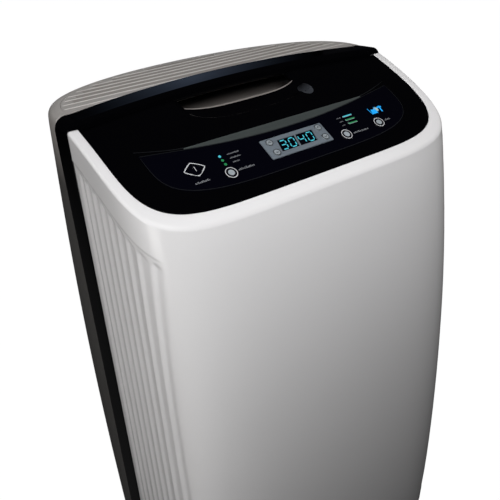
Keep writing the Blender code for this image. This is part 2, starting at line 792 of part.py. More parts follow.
def make_bucket_float():
    """A hinged float: its origin is on the hinge line at the arm's front end."""
    hinge = Vector((-0.110, 0.0460, 0.2280))
    arm = span_box("bucket_float", hinge + Vector((-0.012, -0.002, -0.002)),
                   hinge + Vector((0.012, 0.030, 0.001)), "bucket_plastic")
    arm.data.transform(Matrix.Translation(arm.location - hinge))
    arm.location = hinge
    boolean(arm, span_box("float_block", (-0.124, 0.056, 0.196), (-0.096, 0.082, 0.2275)), "UNION")


# ---------------------------------------------------------------- air path
def scroll_outline(wall, top):
    """Volute in x and z: a spiral, then a straight throat that opens upwards."""
    outline = []
    start, end, steps = math.radians(70), math.radians(360), 26
    for step in range(steps + 1):
        angle = start + (end - start) * step / steps
        radius = 0.0945 + 0.0225 * step / steps - wall
        outline.append((radius * math.cos(angle), FAN_HEIGHT + radius * math.sin(angle)))
    outline.append((outline[-1][0], top))
    outline.append((outline[0][0] + 2 * wall, top))
    return outline


def make_fan_scroll():
    scroll = plate("fan_scroll", scroll_outline(0.0, 0.5500), 0.000, 0.056, "dark_plastic", "Y")
    boolean(scroll, plate("scroll_hollow", scroll_outline(0.002, 0.5600), 0.002, 0.054,
                          "dark_plastic", "Y"))
    axis = (0.0, FAN_HEIGHT)
    boolean(scroll, cylinder("scroll_inlet", 0.070, 0.050, 0.060, axis, "Y", segments=32))
    boolean(scroll, cylinder("scroll_shaft_hole", 0.012, -0.01, 0.01, axis, "Y"))


def make_fan_wheel():
    axis = (0.0, FAN_HEIGHT)
    wheel = cylinder("fan_wheel", FAN_RADIUS, 0.006, 0.050, axis, "Y", segments=24)
    boolean(wheel, cylinder("wheel_hollow", 0.077, 0.0085, 0.060, axis, "Y", segments=24))
    boolean(wheel, cylinder("wheel_hub", 0.010, 0.007, 0.042, axis, "Y"), "UNION")
    boolean(wheel, cylinder("wheel_bore", 0.0045, 0.000, 0.060, axis, "Y"))
    slot = Matrix.Translation((0.084, 0.0, 0.0)) @ Matrix.Diagonal((0.024, 0.034, 0.0190, 1))
    bm = bmesh.new()
    for index in range(BLADES):
        turn = Matrix.Rotation(2 * math.pi * index / BLADES, 4, "Y")
        bmesh.ops.create_cube(bm, size=1.0, matrix=turn @ slot)
    slots = add_bmesh("wheel_slots", bm, "dark_plastic")
    slots.location = (0.0, 0.0290, FAN_HEIGHT)
    boolean(wheel, slots)


def make_fan_drive():
    axis = (0.0, FAN_HEIGHT)
    motor = cylinder("fan_motor", 0.038, -0.070, -0.0080, axis, "Y", "steel_black", 28)
    shaft = cylinder("motor_shaft", 0.0040, -0.020, 0.0390, axis, "Y", segments=16)
    boolean(motor, shaft, "UNION")
    bracket = span_box("motor_bracket", (-0.062, -0.0075, FAN_HEIGHT - 0.062),
                       (0.062, -0.0040, FAN_HEIGHT + 0.062), "steel_plain")
    boolean(bracket, cylinder("bracket_hole", 0.014, -0.02, 0.01, axis, "Y"))


def coil_outline(y_low, y_high, fins):
    """Comb in plan: a spine with fins, so the block reads as a finned coil."""
    half = 0.115
    spine = y_low + 0.004
    pitch = 2 * half / fins
    fin = pitch * 0.45
    outline = [(-half, y_low), (half, y_low)]
    for index in range(fins):
        x = half - index * pitch
        outline += [(x, y_high), (x - fin, y_high), (x - fin, spine), (x - pitch, spine)]
    outline[-1] = (-half, spine)
    return outline


def make_coils():
    for name, low, high in (("evaporator", 0.0920, 0.1180), ("condenser", 0.0620, 0.0880)):
        plate(name, coil_outline(low, high, 26), 0.3250, 0.5400, "aluminium_fin")


def make_drip_tray():
    tray = span_box("drip_tray", (-0.122, 0.0595, 0.3030), (0.122, 0.1195, 0.3180))
    boolean(tray, span_box("tray_hollow", (-0.120, 0.0615, 0.3050), (0.120, 0.1175, 0.33)))


def make_outlet_duct():
    outer = [(0.0005, 0.5510), (0.1140, 0.5510), (0.1140, 0.6050), (0.0500, 0.6050),
             (0.0500, 0.5850), (0.0005, 0.5700)]
    inner = [(0.0025, 0.5400), (0.1120, 0.5400), (0.1120, 0.6200), (0.0520, 0.6200),
             (0.0520, 0.5835), (0.0025, 0.5685)]
    duct = plate("outlet_duct", outer, -0.106, 0.106, "dark_plastic", "X")
    boolean(duct, plate("duct_hollow", inner, -0.104, 0.104, "dark_plastic", "X"))


# ---------------------------------------------------------------- refrigeration and electrics
def make_compressor():
    body = cylinder("compressor", 0.050, 0.0625, 0.2600, COMPRESSOR, "Z", "steel_black", 24)
    bevel(body, 0.016, 2)
    for index in range(3):
        angle = math.radians(90 + 120 * index)
        x = COMPRESSOR[0] + 0.045 * math.cos(angle)
        y = COMPRESSOR[1] + 0.045 * math.sin(angle)
        profile = ((0.0, 0.0620), (0.0085, 0.0620), (0.0100, 0.0560), (0.0075, 0.0510),
                   (0.0100, 0.0460), (0.0100, 0.0405), (0.0, 0.0405))
        foot = turned(f"compressor_foot_{index + 1}", profile, "rubber", 14)
        foot.location = (x, y, 0.0)
    bottle = cylinder("accumulator", 0.018, 0.085, 0.200, (0.014, -0.045), "Z", "steel_black", 20)
    bevel(bottle, 0.007, 2)


def make_pipes():
    tube("suction_line", [(0.014, -0.045, 0.2004), (0.014, -0.045, 0.2750), (-0.060, -0.010, 0.2850),
                          (-0.134, 0.010, 0.2900), (-0.136, 0.080, 0.3000), (-0.136, 0.105, 0.3500),
                          (-0.1160, 0.105, 0.3500)], 0.0040, "copper_tube")
    tube("discharge_line", [(-0.060, -0.045, 0.2604), (-0.060, -0.045, 0.2960),
                            (0.040, -0.060, 0.3000), (0.134, -0.010, 0.3030),
                            (0.136, 0.050, 0.3100), (0.136, 0.075, 0.3500),
                            (0.1160, 0.075, 0.3500)], 0.0032, "copper_tube")
    tube("pump_hose", [(0.110, 0.004, 0.1060), (0.110, 0.004, 0.2650), (0.112, 0.030, 0.2890),
                       (0.100, 0.080, 0.2945), (0.100, 0.1290, 0.2945)], 0.0045, "rubber")


def make_pump():
    pump = span_box("pump", (0.085, -0.020, 0.0405), (0.135, 0.028, 0.0850))
    boolean(pump, cylinder("pump_head", 0.015, 0.080, 0.1000, (0.110, 0.004)), "UNION")
    boolean(pump, cylinder("pump_nozzle", 0.0045, 0.095, 0.1056, (0.110, 0.004)), "UNION")


def make_power_box():
    bevel(span_box("power_box", (0.062, -0.104, 0.120), (0.142, -0.052, 0.2850)), 0.004, 1)
    can = cylinder("run_capacitor", 0.018, 0.2855, 0.3500, (0.104, -0.078), "Z", "steel_plain", 20)
    bevel(can, 0.003, 1)


def make_rear_fittings():
    cap_profile = ((0.0, 0.0), (0.0102, 0.0), (0.0110, -0.0012), (0.0110, -0.0040),
                   (0.0078, -0.0040), (0.0078, -0.0170), (0.0, -0.0170))
    cap = turned("drain_cap", cap_profile, "dark_plastic", 18)
    cap.location = (0.100, 0.1570, 0.2950)
    cap.rotation_euler = (-math.pi / 2, 0.0, 0.0)
    gland_profile = ((0.0036, 0.0), (0.0070, -0.0006), (0.0092, -0.0060), (0.0100, -0.0062),
                     (0.0100, -0.0080), (0.0070, -0.0080), (0.0070, -0.0220), (0.0036, -0.0220))
    gland = turned("cord_gland", gland_profile + (gland_profile[0],), "rubber", 18)
    gland.location = (-0.100, 0.1588, 0.2950)
    gland.rotation_euler = (-math.pi / 2, 0.0, 0.0)


# ---------------------------------------------------------------- base and castors
def make_base_pan():
    outline = inner_outline(0.038, 0.0040)
    pan = plate("base_pan", outline, 0.0362, 0.0400, "dark_plastic")
    for index, place in enumerate(CASTORS):
        boss = cylinder(f"castor_boss_{index}", 0.011, 0.0270, 0.0380, place, segments=20)
        boolean(pan, boss, "UNION")
    for index, place in enumerate(CASTORS):
        socket = cylinder(f"castor_socket_{index}", 0.0045, 0.0200, 0.0385, place, segments=16)
        boolean(pan, socket)


def make_castors():
    profile = ((0.0, 0.0370), (0.0041, 0.0370), (0.0041, 0.0265), (0.0130, 0.0265),
               (0.0140, 0.0258), (0.0140, 0.0240), (0.0, 0.0240))
    cheek_x = 0.0088
    for index, (x, y) in enumerate(CASTORS):
        fork = turned(f"castor_fork_{index + 1}", profile, "dark_plastic", 14)
        fork.location = (x, y, 0.0)
        trail = y + CASTOR_TRAIL
        for side in (-1, 1):
            middle = x + side * cheek_x
            cheek = span_box(f"castor_cheek_{index}_{side}", (middle - 0.0011, trail - 0.0055, 0.0060),
                             (middle + 0.0011, trail + 0.0050, 0.0250))
            boolean(fork, cheek, "UNION")
        axle = cylinder(f"castor_axle_{index}", 0.0020, x - cheek_x, x + cheek_x,
                        (trail, CASTOR_RADIUS), "X", segments=10)
        boolean(fork, axle, "UNION")
        tread = cylinder(f"castor_wheel_{index + 1}", CASTOR_RADIUS, -0.0070, 0.0070, (0.0, 0.0), "X",
                         "rubber", 20)
        tread.location = (x, trail, CASTOR_RADIUS)
        bore = cylinder(f"castor_bore_{index}", 0.0024, x - 0.0100, x + 0.0100,
                        (trail, CASTOR_RADIUS), "X", segments=12)
        boolean(tread, bore)


def main():
    clear_scene()
    make_collections()
    make_materials()
    make_front_shell()
    make_rear_housing()
    make_rear_grille()
    make_filter()
    make_top_louvre()
    make_handle_band()
    make_handle_cup()
    make_top_deck()
    make_control_panel()
    make_crescent()
    make_display()
    make_buttons()
    make_light_guides()
    make_control_board()
    make_bucket()
    make_bucket_handle()
    make_bucket_float()
    make_fan_scroll()
    make_fan_wheel()
    make_fan_drive()
    make_coils()
    make_drip_tray()
    make_outlet_duct()
    make_compressor()
    make_pipes()
    make_pump()
    make_power_box()
    make_rear_fittings()
    make_base_pan()
    make_castors()


main()
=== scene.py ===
"""Looks of the portable upright dehumidifier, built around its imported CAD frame.

Shapes are worked out in the part's own coordinates, where y = 0 is the plane in which
the front shell meets the handle band. BAND_Y moves them into the frame.
"""
import math

import bmesh
import bpy
from mathutils import Matrix, Vector


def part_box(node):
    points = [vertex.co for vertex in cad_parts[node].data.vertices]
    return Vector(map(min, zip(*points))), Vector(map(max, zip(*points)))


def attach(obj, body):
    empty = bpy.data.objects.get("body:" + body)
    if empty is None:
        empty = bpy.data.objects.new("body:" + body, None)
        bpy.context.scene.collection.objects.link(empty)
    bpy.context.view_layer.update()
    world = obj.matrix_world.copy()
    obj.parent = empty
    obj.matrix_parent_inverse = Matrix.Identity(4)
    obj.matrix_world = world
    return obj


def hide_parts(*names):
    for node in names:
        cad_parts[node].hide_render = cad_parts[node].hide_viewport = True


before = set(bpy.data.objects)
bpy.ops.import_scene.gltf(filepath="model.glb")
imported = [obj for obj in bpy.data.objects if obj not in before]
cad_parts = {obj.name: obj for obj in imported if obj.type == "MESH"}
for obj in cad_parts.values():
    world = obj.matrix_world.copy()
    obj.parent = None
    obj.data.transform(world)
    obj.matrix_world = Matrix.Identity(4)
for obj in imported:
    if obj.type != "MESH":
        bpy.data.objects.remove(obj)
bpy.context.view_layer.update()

# ---------------------------------------------------------------- dimensions, in metres
GAP = 0.0003
BAND_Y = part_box("handle_band")[0].y - GAP
HALF_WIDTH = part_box("front_shell")[1].x
RIM_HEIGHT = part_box("front_shell")[1].z
SHELL_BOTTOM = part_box("front_shell")[0].z
REAR_HALF_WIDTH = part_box("rear_housing")[1].x
FRONT_DEPTH = 0.1323
REAR_START = 0.0278
REAR_DEPTH = 0.1310
BULGE_HEIGHT = 0.352
REAR_BULGE_HEIGHT = 0.335
WALL = 0.0023
CORNER_POWER = 6.35
RIM_WIDTH = 0.0104
RIM_ROUND = 0.0028          # radius of the rim's outer edge
DECK_DROP = 0.0010
DECK_THICK = 0.0025
DECK_SETBACK = 0.0021
BAND_WIDTH = 0.0272
BAND_THICK = 0.0030
BAR_THICK = 0.0120
BAR_END_HEIGHT = 0.6295
BAR_CROWN = 0.0045
BAR_BOW_FRONT = 0.0115
BAR_BOW_REAR = 0.0175
BOW_HALF_WIDTH = 0.172
BAND_CORNER = 0.012
LOUVRE_HEIGHT = 0.6305
LOUVRE_RISE = 0.0028
LOUVRE_REACH = 0.075        # distance behind REAR_START over which the louvre rises
LOUVRE_INSET = 0.0132
SHOULDER_DROP = 0.012       # the louvre's plan outline is the housing's at this drop
SLOT_START = 0.0535         # front edge of the first louvre slot
SLOT_PITCH = 0.0118
SLOT_DEPTH = 0.0068
SLOT_ROWS = 6
GRILLE_HALF_WIDTH = 0.125
GRILLE_Z = (0.315, 0.545)
BUCKET_HALF_WIDTH = 0.155
BUCKET_Z = (0.040, 0.275)
PANEL_HALF_WIDTH = 0.150
PANEL_POWER = 4.1
PANEL_TIP = 0.0050          # the panel's side tips lie this far behind the crescent's ends
PANEL_CENTRE_Y = -0.045
PANEL_DEPTH = 0.0493
CRESCENT_HALF = 0.112
CRESCENT_Y = -0.0487
CRESCENT_DEPTH = 0.0078
DISPLAY_HALF = 0.0374
DISPLAY_Y = -0.0734
DISPLAY_HEIGHT = 0.0235

FLUTE_FIRST = 0.0155        # distance of the first flute's ridge in front of the band
FLUTE_PITCH = 0.0117
FLUTE_COUNT = 8
FLUTE_DEPTH = 0.0016
FLUTE_RISE = 0.70           # share of the pitch over which a flute slopes outwards
STEP_DEPTH = 0.0007         # the fluted field lies this far below the plain wall

BUTTONS = {
    "power_button": (-0.1123, -0.0704),
    "settings_button": (-0.0836, -0.0825),
    "fan_speed_button": (0.0552, -0.0824),
    "pump_button": (0.1015, -0.0811),
}
LEVEL_BUTTONS = {
    "humidity_up_button": (-0.0292, -0.0680),
    "humidity_down_button": (-0.0292, -0.0785),
    "timer_up_button": (0.0305, -0.0680),
    "timer_down_button": (0.0305, -0.0785),
}
MODE_LIGHTS = [(-0.0829, -0.0656), (-0.0829, -0.0697), (-0.0829, -0.0738)]
FAN_LIGHTS = [(0.0736, -0.0645), (0.0736, -0.0686), (0.0736, -0.0727)]
PUMP_LIGHT = (0.1124, -0.0671)
BUTTON_RADIUS = 0.0062
LEVEL_RADIUS = 0.0036
CLEARANCE = 0.0004          # between a hole and what fills it
DECK_CUT = (0.50, 0.66)     # heights between which a plan outline is cut through the deck
PRINT_ABOVE = 0.00008       # prints float this far over the deck
PRINT_THICK = 0.00012
RING_WIDTH = 0.0006
WINDOW_CENTRES = (-0.0112, 0.0112)
WINDOW_SLANT = 0.0022
LIGHT_DOT_RADIUS = 0.0015
PUMP_HOLE_RADIUS = 0.0034
# x, y, length and height of each row of dashes that stands for a caption
CAPTIONS = (
    (-0.1206, -0.0826, 0.0149, 0.0021),
    (-0.0752, -0.0826, 0.0180, 0.0022),
    (0.0640, -0.0838, 0.0200, 0.0020),
    (0.1100, -0.0812, 0.0080, 0.0020),
    (-0.0750, -0.0662, 0.0125, 0.0015),
    (-0.0750, -0.0703, 0.0125, 0.0015),
    (-0.0750, -0.0744, 0.0080, 0.0015),
    (0.0590, -0.0652, 0.0052, 0.0013),
    (0.0590, -0.0693, 0.0046, 0.0013),
    (0.0590, -0.0734, 0.0040, 0.0013),
)
SEGMENTS = {
    "a": ((0.12, 1.0), (0.88, 1.0)),
    "b": ((1.0, 0.90), (1.0, 0.58)),
    "c": ((1.0, 0.42), (1.0, 0.10)),
    "d": ((0.12, 0.0), (0.88, 0.0)),
    "e": ((0.0, 0.42), (0.0, 0.10)),
    "f": ((0.0, 0.90), (0.0, 0.58)),
    "g": ((0.12, 0.5), (0.88, 0.5)),
}
DIGITS = {"3": "abcdg", "4": "bcfg", "0": "abcdef"}

SIDE_END = 0.108            # the corner columns start this far in front of the band
FACE_HALF = 0.148           # and end this far from the middle of the face
RECESS_CENTRE = -0.008
RECESS_REACH = 0.0745
RECESS_FRONT = 0.0300
RECESS_DEPTH = 0.0019
DIMPLE = (0.0591, -0.0205)
DIMPLE_RADIUS = 0.0086
DIMPLE_DEPTH = 0.0030
LOUVRE_EDGE = 0.0128        # the louvre plate's own inset from the housing's outline
# (y, z) round one slanted blade, from the front edge of its slot and the louvre's surface.
BLADE_SECTION = ((0.0003, -0.0046), (0.0009, -0.0050), (0.0068, -0.0016), (0.0070, -0.0010),
                 (0.0064, -0.0005), (0.0058, -0.0007), (0.0003, -0.0036))
GRILLE_ROWS = 7
GRILLE_ROW_PITCH = 0.0288
GRILLE_SLOT_PITCH = 0.0106
GRILLE_SLOT_LENGTH = 0.1100
GRILLE_SLOT_ROUND = 0.0047
REAR_STEPS = 96

CAMERA_PLACE = (-0.40289, -0.55930, 0.78065)
CAMERA_AZIMUTH = 35.65      # turned from +Y towards +X
CAMERA_DOWN = 26.72
CAMERA_ROLL = -4.706
CAMERA_LENS = 49.70
SUBJECT = (0.0, -0.05, 0.45)
# name, place, size, watts, colour, and whether glossy surfaces show it
LIGHTS = (
    ("key", (-0.12, -0.52, 1.02), (0.30, 0.30), 2.7, (1.0, 1.0, 1.0), False),
    ("front_top", (0.08, -0.36, 1.13), (0.40, 0.25), 0.98, (1.0, 1.0, 1.0), False),
    ("left_card", (-0.64, -0.42, 0.55), (0.30, 0.45), 1.45, (1.0, 0.99, 0.97), True),
    ("side_card", (-0.70, -0.34, 0.50), (0.25, 0.50), 0.60, (1.0, 0.98, 0.96), False),
    ("right_top", (0.53, -0.36, 0.88), (0.25, 0.25), 0.55, (1.0, 0.97, 0.94), False),
    ("right_card", (1.41, -0.05, 0.96), (0.40, 0.50), 1.6, (1.0, 0.96, 0.92), False),
    ("rear_left", (-0.42, 0.19, 1.02), (0.25, 0.25), 0.55, (1.0, 0.99, 0.98), False),
    ("behind", (0.55, 1.55, 0.70), (0.60, 0.60), 17.0, (1.0, 1.0, 1.0), False),
)
CARD_PLACE = (0.72, 1.26, 0.946)
CARD_AIM = (-0.05, 0.01, 0.634)
CARD_RADIUS = 0.44
FLOOR_HALF = 12.0
FLOOR_DROP = 0.0005
PAPER_STRENGTH = 1.06       # the floor's white as the camera sees it
PAPER_SHARE = 0.95


# ---------------------------------------------------------------- shape rules
def power(value, exponent):
    return math.copysign(abs(value) ** exponent, value)


def smooth(value, low, high):
    """0 below low, 1 above high and an even S between them."""
    t = min(1.0, max(0.0, (value - low) / (high - low)))
    return t * t * (3 - 2 * t)


def rim_z(y):
    """Height of the rim, which falls away towards the front."""
    return RIM_HEIGHT + 0.430 * y - 1.402 * y * y


def rim_slope(y):
    return math.atan(0.430 - 2.804 * y)


def front_bulge(z):
    """How far the front shell reaches in front of the band at this height."""
    rise = z - BULGE_HEIGHT
    return FRONT_DEPTH - (0.34 if rise > 0 else 0.19) * rise * rise


def rear_bulge(z):
    """How far the rear housing reaches behind its front edge at this height."""
    rise = z - REAR_BULGE_HEIGHT
    return REAR_DEPTH - (0.28 if rise > 0 else 0.25) * rise * rise


def rear_power(z):
    return 2.6 - 6.0 * (z - REAR_BULGE_HEIGHT) ** 2


def rear_point(angle, z, inset=0.0):
    exponent = 2 / rear_power(z)
    x = (REAR_HALF_WIDTH - inset) * power(math.cos(angle), exponent)
    y = REAR_START + (rear_bulge(z) - inset) * power(math.sin(angle), exponent)
    return x, y


def louvre_z(y):
    t = min(1.0, (y - REAR_START) / LOUVRE_REACH)
    return LOUVRE_HEIGHT + LOUVRE_RISE * (2 * t - t * t)


def bow(x, depth):
    """Depth at the middle of the bar, easing to 0 at its ends."""
    return depth * max(0.0, 1 - (x / BOW_HALF_WIDTH) ** 2)


def bar_front(x):
    return GAP + bow(x, BAR_BOW_FRONT)


def bar_rear(x):
    return GAP + BAND_WIDTH + bow(x, BAR_BOW_REAR)


def other_share(share):
    """The superellipse's second coordinate, as a share, where the first has this share."""
    return max(0.0, 1 - abs(share) ** CORNER_POWER) ** (1 / CORNER_POWER)


def round_steps(steps):
    """Even steps round a unit circle, as (cosine, sine)."""
    turns = [2 * math.pi * k / steps for k in range(steps)]
    return [(math.cos(a), math.sin(a)) for a in turns]


def spline(points, steps):
    """A smooth curve through points, with this many steps between each pair."""
    places = [Vector(p) for p in points]
    ends = [2 * places[0] - places[1]] + places + [2 * places[-1] - places[-2]]
    route = []
    for a, b, c, d in zip(ends, ends[1:], ends[2:], ends[3:]):
        for step in range(steps):
            t = step / steps
            route.append(0.5 * (2 * b + (c - a) * t + (2 * a - 5 * b + 4 * c - d) * t * t
                                + (3 * b - 3 * c + d - a) * t ** 3))
    return route + [places[-1]]


# ---------------------------------------------------------------- materials
class Nodes:
    """Shorthand for building one material's node tree."""

    def __init__(self, name):
        self.mat = bpy.data.materials.new(name)
        self.mat.use_nodes = True
        self.tree = self.mat.node_tree
        self.shader = self.tree.nodes["Principled BSDF"]
        self.coords = self.tree.nodes.new("ShaderNodeTexCoord").outputs["Object"]

    def link(self, source, target):
        self.tree.links.new(source, target)

    def noise(self, scale, detail=3.0, stretch=(1, 1, 1)):
        spread = self.tree.nodes.new("ShaderNodeMapping")
        spread.inputs["Scale"].default_value = stretch
        self.link(self.coords, spread.inputs["Vector"])
        node = self.tree.nodes.new("ShaderNodeTexNoise")
        node.inputs["Scale"].default_value = scale
        node.inputs["Detail"].default_value = detail
        self.link(spread.outputs["Vector"], node.inputs["Vector"])
        return node.outputs["Fac"]

    def cells(self, scale, feature="F1"):
        node = self.tree.nodes.new("ShaderNodeTexVoronoi")
        node.feature = feature
        node.inputs["Scale"].default_value = scale
        self.link(self.coords, node.inputs["Vector"])
        return node.outputs["Distance"]

    def bands(self, scale, direction="X"):
        node = self.tree.nodes.new("ShaderNodeTexWave")
        node.bands_direction = direction
        node.inputs["Scale"].default_value = scale
        self.link(self.coords, node.inputs["Vector"])
        return node.outputs["Fac"]

    def remap(self, source, low, high, start=0.3, end=0.7):
        node = self.tree.nodes.new("ShaderNodeMapRange")
        node.inputs["From Min"].default_value = start
        node.inputs["From Max"].default_value = end
        node.inputs["To Min"].default_value = low
        node.inputs["To Max"].default_value = high
        self.link(source, node.inputs["Value"])
        return node.outputs["Result"]

    def mix(self, factor, first, second):
        """Colour between first and second, which are colours or another mix."""
        node = self.tree.nodes.new("ShaderNodeMix")
        node.data_type = "RGBA"
        self.link(factor, node.inputs["Factor"])
        for value, socket in ((first, node.inputs["A"]), (second, node.inputs["B"])):
            if isinstance(value, tuple):
                socket.default_value = (*value, 1.0)
            else:
                self.link(value, socket)
        return node.outputs["Result"]

    def bump(self, height, distance, strength=1.0, under=None):
        node = self.tree.nodes.new("ShaderNodeBump")
        node.inputs["Strength"].default_value = strength
        node.inputs["Distance"].default_value = distance
        self.link(height, node.inputs["Height"])
        if under is not None:
            self.link(under, node.inputs["Normal"])
        return node.outputs["Normal"]

    def along(self, axis, start, end):
        """0 to 1 between two places on one axis of the frame."""
        place = self.tree.nodes.new("ShaderNodeSeparateXYZ")
        self.link(self.coords, place.inputs["Vector"])
        return self.remap(place.outputs[axis], 0.0, 1.0, start, end)

    def edges(self, share):
        """Up to this share on the raised edges of a mesh."""
        geometry = self.tree.nodes.new("ShaderNodeNewGeometry")
        return self.remap(geometry.outputs["Pointiness"], 0.0, share, 0.53, 0.62)

    def put(self, **values):
        """Sets or links the shader's inputs, named with underscores for spaces."""
        for key, value in values.items():
            socket = self.shader.inputs[key.replace("_", " ")]
            if isinstance(value, bpy.types.NodeSocket):
                self.link(value, socket)
            elif isinstance(value, tuple):
                socket.default_value = (*value, 1.0)
            else:
                socket.default_value = value
        return self.mat


def shade(colour, factor):
    return tuple(c * factor for c in colour)


def moulded(name, colour, rough, grain, depth, worn=1.25):
    """Moulded plastic: a fine spark grain, uneven sheen, slight tone drift, polished edges."""
    n = Nodes(name)
    drift = n.mix(n.noise(9.0), shade(colour, 0.94), shade(colour, 1.06))
    grains = n.remap(n.noise(grain * 0.6, 2.0), 0.0, 1.0, 0.42, 0.62)
    speck = n.mix(grains, shade(colour, 0.93), drift)
    tint = n.mix(n.edges(0.5), speck, shade(colour, worn))
    sheen = n.remap(n.noise(22.0, 5.0), rough * 0.86, rough * 1.14)
    normal = n.bump(n.noise(grain, 2.0), depth, 0.5)
    return n.put(Base_Color=tint, Roughness=sheen, Normal=normal)


def glossy(name, colour, rough, haze, specks, tone=0.02, **extra):
    """High-gloss plastic: orange peel, faint hand haze and fine dust specks.

    The white shell's roughness stays under 0.27, where the denoiser would show its edge.
    """
    n = Nodes(name)
    drift = n.mix(n.noise(6.0), shade(colour, 1 - tone), shade(colour, 1 + tone))
    dust = n.remap(n.cells(420.0), 1.0, 0.0, 0.02, 0.07)
    tint = n.mix(dust, drift, specks)
    smear = n.remap(n.noise(14.0, 3.0, (1.0, 1.0, 0.35)), rough, rough + haze, 0.0, 1.0)
    wavy = n.bump(n.noise(260.0, 1.0), 0.00004, 0.25)
    normal = n.bump(n.noise(2400.0, 2.0, (1.0, 0.12, 1.0)), 0.00001, 0.25, wavy)
    return n.put(Base_Color=tint, Roughness=smear, Normal=normal, **extra)


def painted_shade_by_height(name, low, high, start, end):
    """Fine-grained plastic of one grey, with painted shade: it turns from a dark grey low down to the
    lighter one towards its top.
    """
    n = Nodes(name)
    # Painted shade: the darker grey below start, the plastic's own lighter grey above end.
    tone = n.mix(n.along("Z", start, end), low, high)
    speck = n.mix(n.remap(n.noise(900.0, 2.0), 0.0, 0.08, 0.42, 0.62), tone, (0.02, 0.02, 0.02))
    sheen = n.remap(n.noise(22.0, 5.0), 0.31, 0.41)
    return n.put(Base_Color=speck, Roughness=sheen,
                 Normal=n.bump(n.noise(1500.0, 2.0), 0.00006, 0.5))


def painted_light_hollow(name, axis, near, far, start, end):
    """Dark plastic of a hollow with painted light: its colour fades from near to far along one axis of
    the frame.
    """
    n = Nodes(name)
    share = n.along(axis, start, end)
    grain = n.mix(n.noise(1600.0, 2.0), shade(near, 0.94), shade(near, 1.06))
    return n.put(Base_Color=n.mix(share, grain, far), Roughness=n.remap(n.noise(30.0), 0.28, 0.4),
                 Normal=n.bump(n.noise(1600.0, 2.0), 0.00004, 0.5))


def brushed(name, colour, rough, metallic, stretch):
    """Metal or metallic paint with fine parallel lines."""
    n = Nodes(name)
    lines = n.noise(700.0, 3.0, stretch)
    tint = n.mix(n.remap(lines, 0.0, 1.0), shade(colour, 0.88), shade(colour, 1.08))
    worn = n.mix(n.edges(0.6), tint, shade(colour, 1.35))
    sheen = n.remap(n.noise(30.0, 4.0), rough * 0.85, rough * 1.2)
    return n.put(Base_Color=worn, Roughness=sheen, Metallic=metallic,
                 Normal=n.bump(lines, 0.00002, 0.4))


def glowing(name, colour, strength):
    """A glowing print or light guide, a little brighter at its middle than at its grainy edge; on the
    plain prints the glow is painted light.
    """
    n = Nodes(name)
    grain = n.noise(1500.0, 2.0)
    lit = n.mix(n.remap(grain, 0.0, 1.0), shade(colour, 0.75), colour)
    return n.put(Base_Color=lit, Emission_Color=lit, Emission_Strength=strength,
                 Roughness=n.remap(grain, 0.25, 0.45), Normal=n.bump(grain, 0.00001, 0.2))


def metal(name, colour, rough, stained, scale):
    """Bare metal with a cloudy tarnish."""
    n = Nodes(name)
    cloud = n.noise(scale, 6.0)
    tint = n.mix(n.remap(cloud, 0.0, 1.0, 0.4, 0.65), colour, stained)
    bright = n.mix(n.edges(0.5), tint, shade(colour, 1.2))
    sheen = n.remap(cloud, rough * 0.8, rough * 1.5)
    return n.put(Base_Color=bright, Roughness=sheen, Metallic=1.0,
                 Normal=n.bump(n.noise(scale * 30, 2.0), 0.00002, 0.3))


def finned(name):
    """Aluminium fin pack: close vertical fins with slightly bent and dusty patches, and dark bands of
    painted shade in the gaps between fins.
    """
    n = Nodes(name)
    fins = n.bands(260.0)
    dust = n.noise(18.0, 5.0)
    # Dark bands between the light fins: painted shade in the gaps.
    tint = n.mix(n.remap(fins, 0.0, 1.0, 0.1, 0.9), (0.10, 0.10, 0.105), (0.70, 0.71, 0.72))
    dusty = n.mix(n.remap(dust, 0.0, 0.6, 0.5, 0.7), tint, (0.34, 0.33, 0.31))
    return n.put(Base_Color=dusty, Roughness=n.remap(dust, 0.3, 0.55), Metallic=0.9,
                 Normal=n.bump(fins, 0.0004, 0.8))


def netted(name):
    """Woven nylon net in its frame, grey with caught dust; the near-black openings between threads are
    painted shade.
    """
    n = Nodes(name)
    across = n.bands(420.0, "X")
    up = n.bands(420.0, "Z")
    join = n.tree.nodes.new("ShaderNodeMath")
    join.operation = "MAXIMUM"
    n.link(across, join.inputs[0])
    n.link(up, join.inputs[1])
    weave = join.outputs["Value"]
    # Near black between the threads: painted shade in the net's openings.
    tint = n.mix(n.remap(weave, 0.0, 1.0, 0.4, 0.9), (0.012, 0.012, 0.014), (0.17, 0.17, 0.18))
    dusty = n.mix(n.remap(n.noise(25.0, 5.0), 0.0, 0.4, 0.5, 0.75), tint, (0.24, 0.23, 0.21))
    return n.put(Base_Color=dusty, Roughness=n.remap(weave, 0.65, 0.9),
                 Normal=n.bump(weave, 0.0003, 0.7))


def circuit(name):
    """Green board with etched tracks and pads."""
    n = Nodes(name)
    tracks = n.cells(160.0, "DISTANCE_TO_EDGE")
    tint = n.mix(n.remap(tracks, 0.0, 1.0, 0.03, 0.06), (0.16, 0.34, 0.10), (0.015, 0.11, 0.04))
    pads = n.mix(n.remap(n.cells(240.0), 1.0, 0.0, 0.1, 0.16), tint, (0.60, 0.55, 0.38))
    return n.put(Base_Color=pads, Roughness=n.remap(tracks, 0.25, 0.5, 0.0, 0.2),
                 Normal=n.bump(tracks, 0.0001, 0.6))


DUST = (0.006, 0.006, 0.0065)

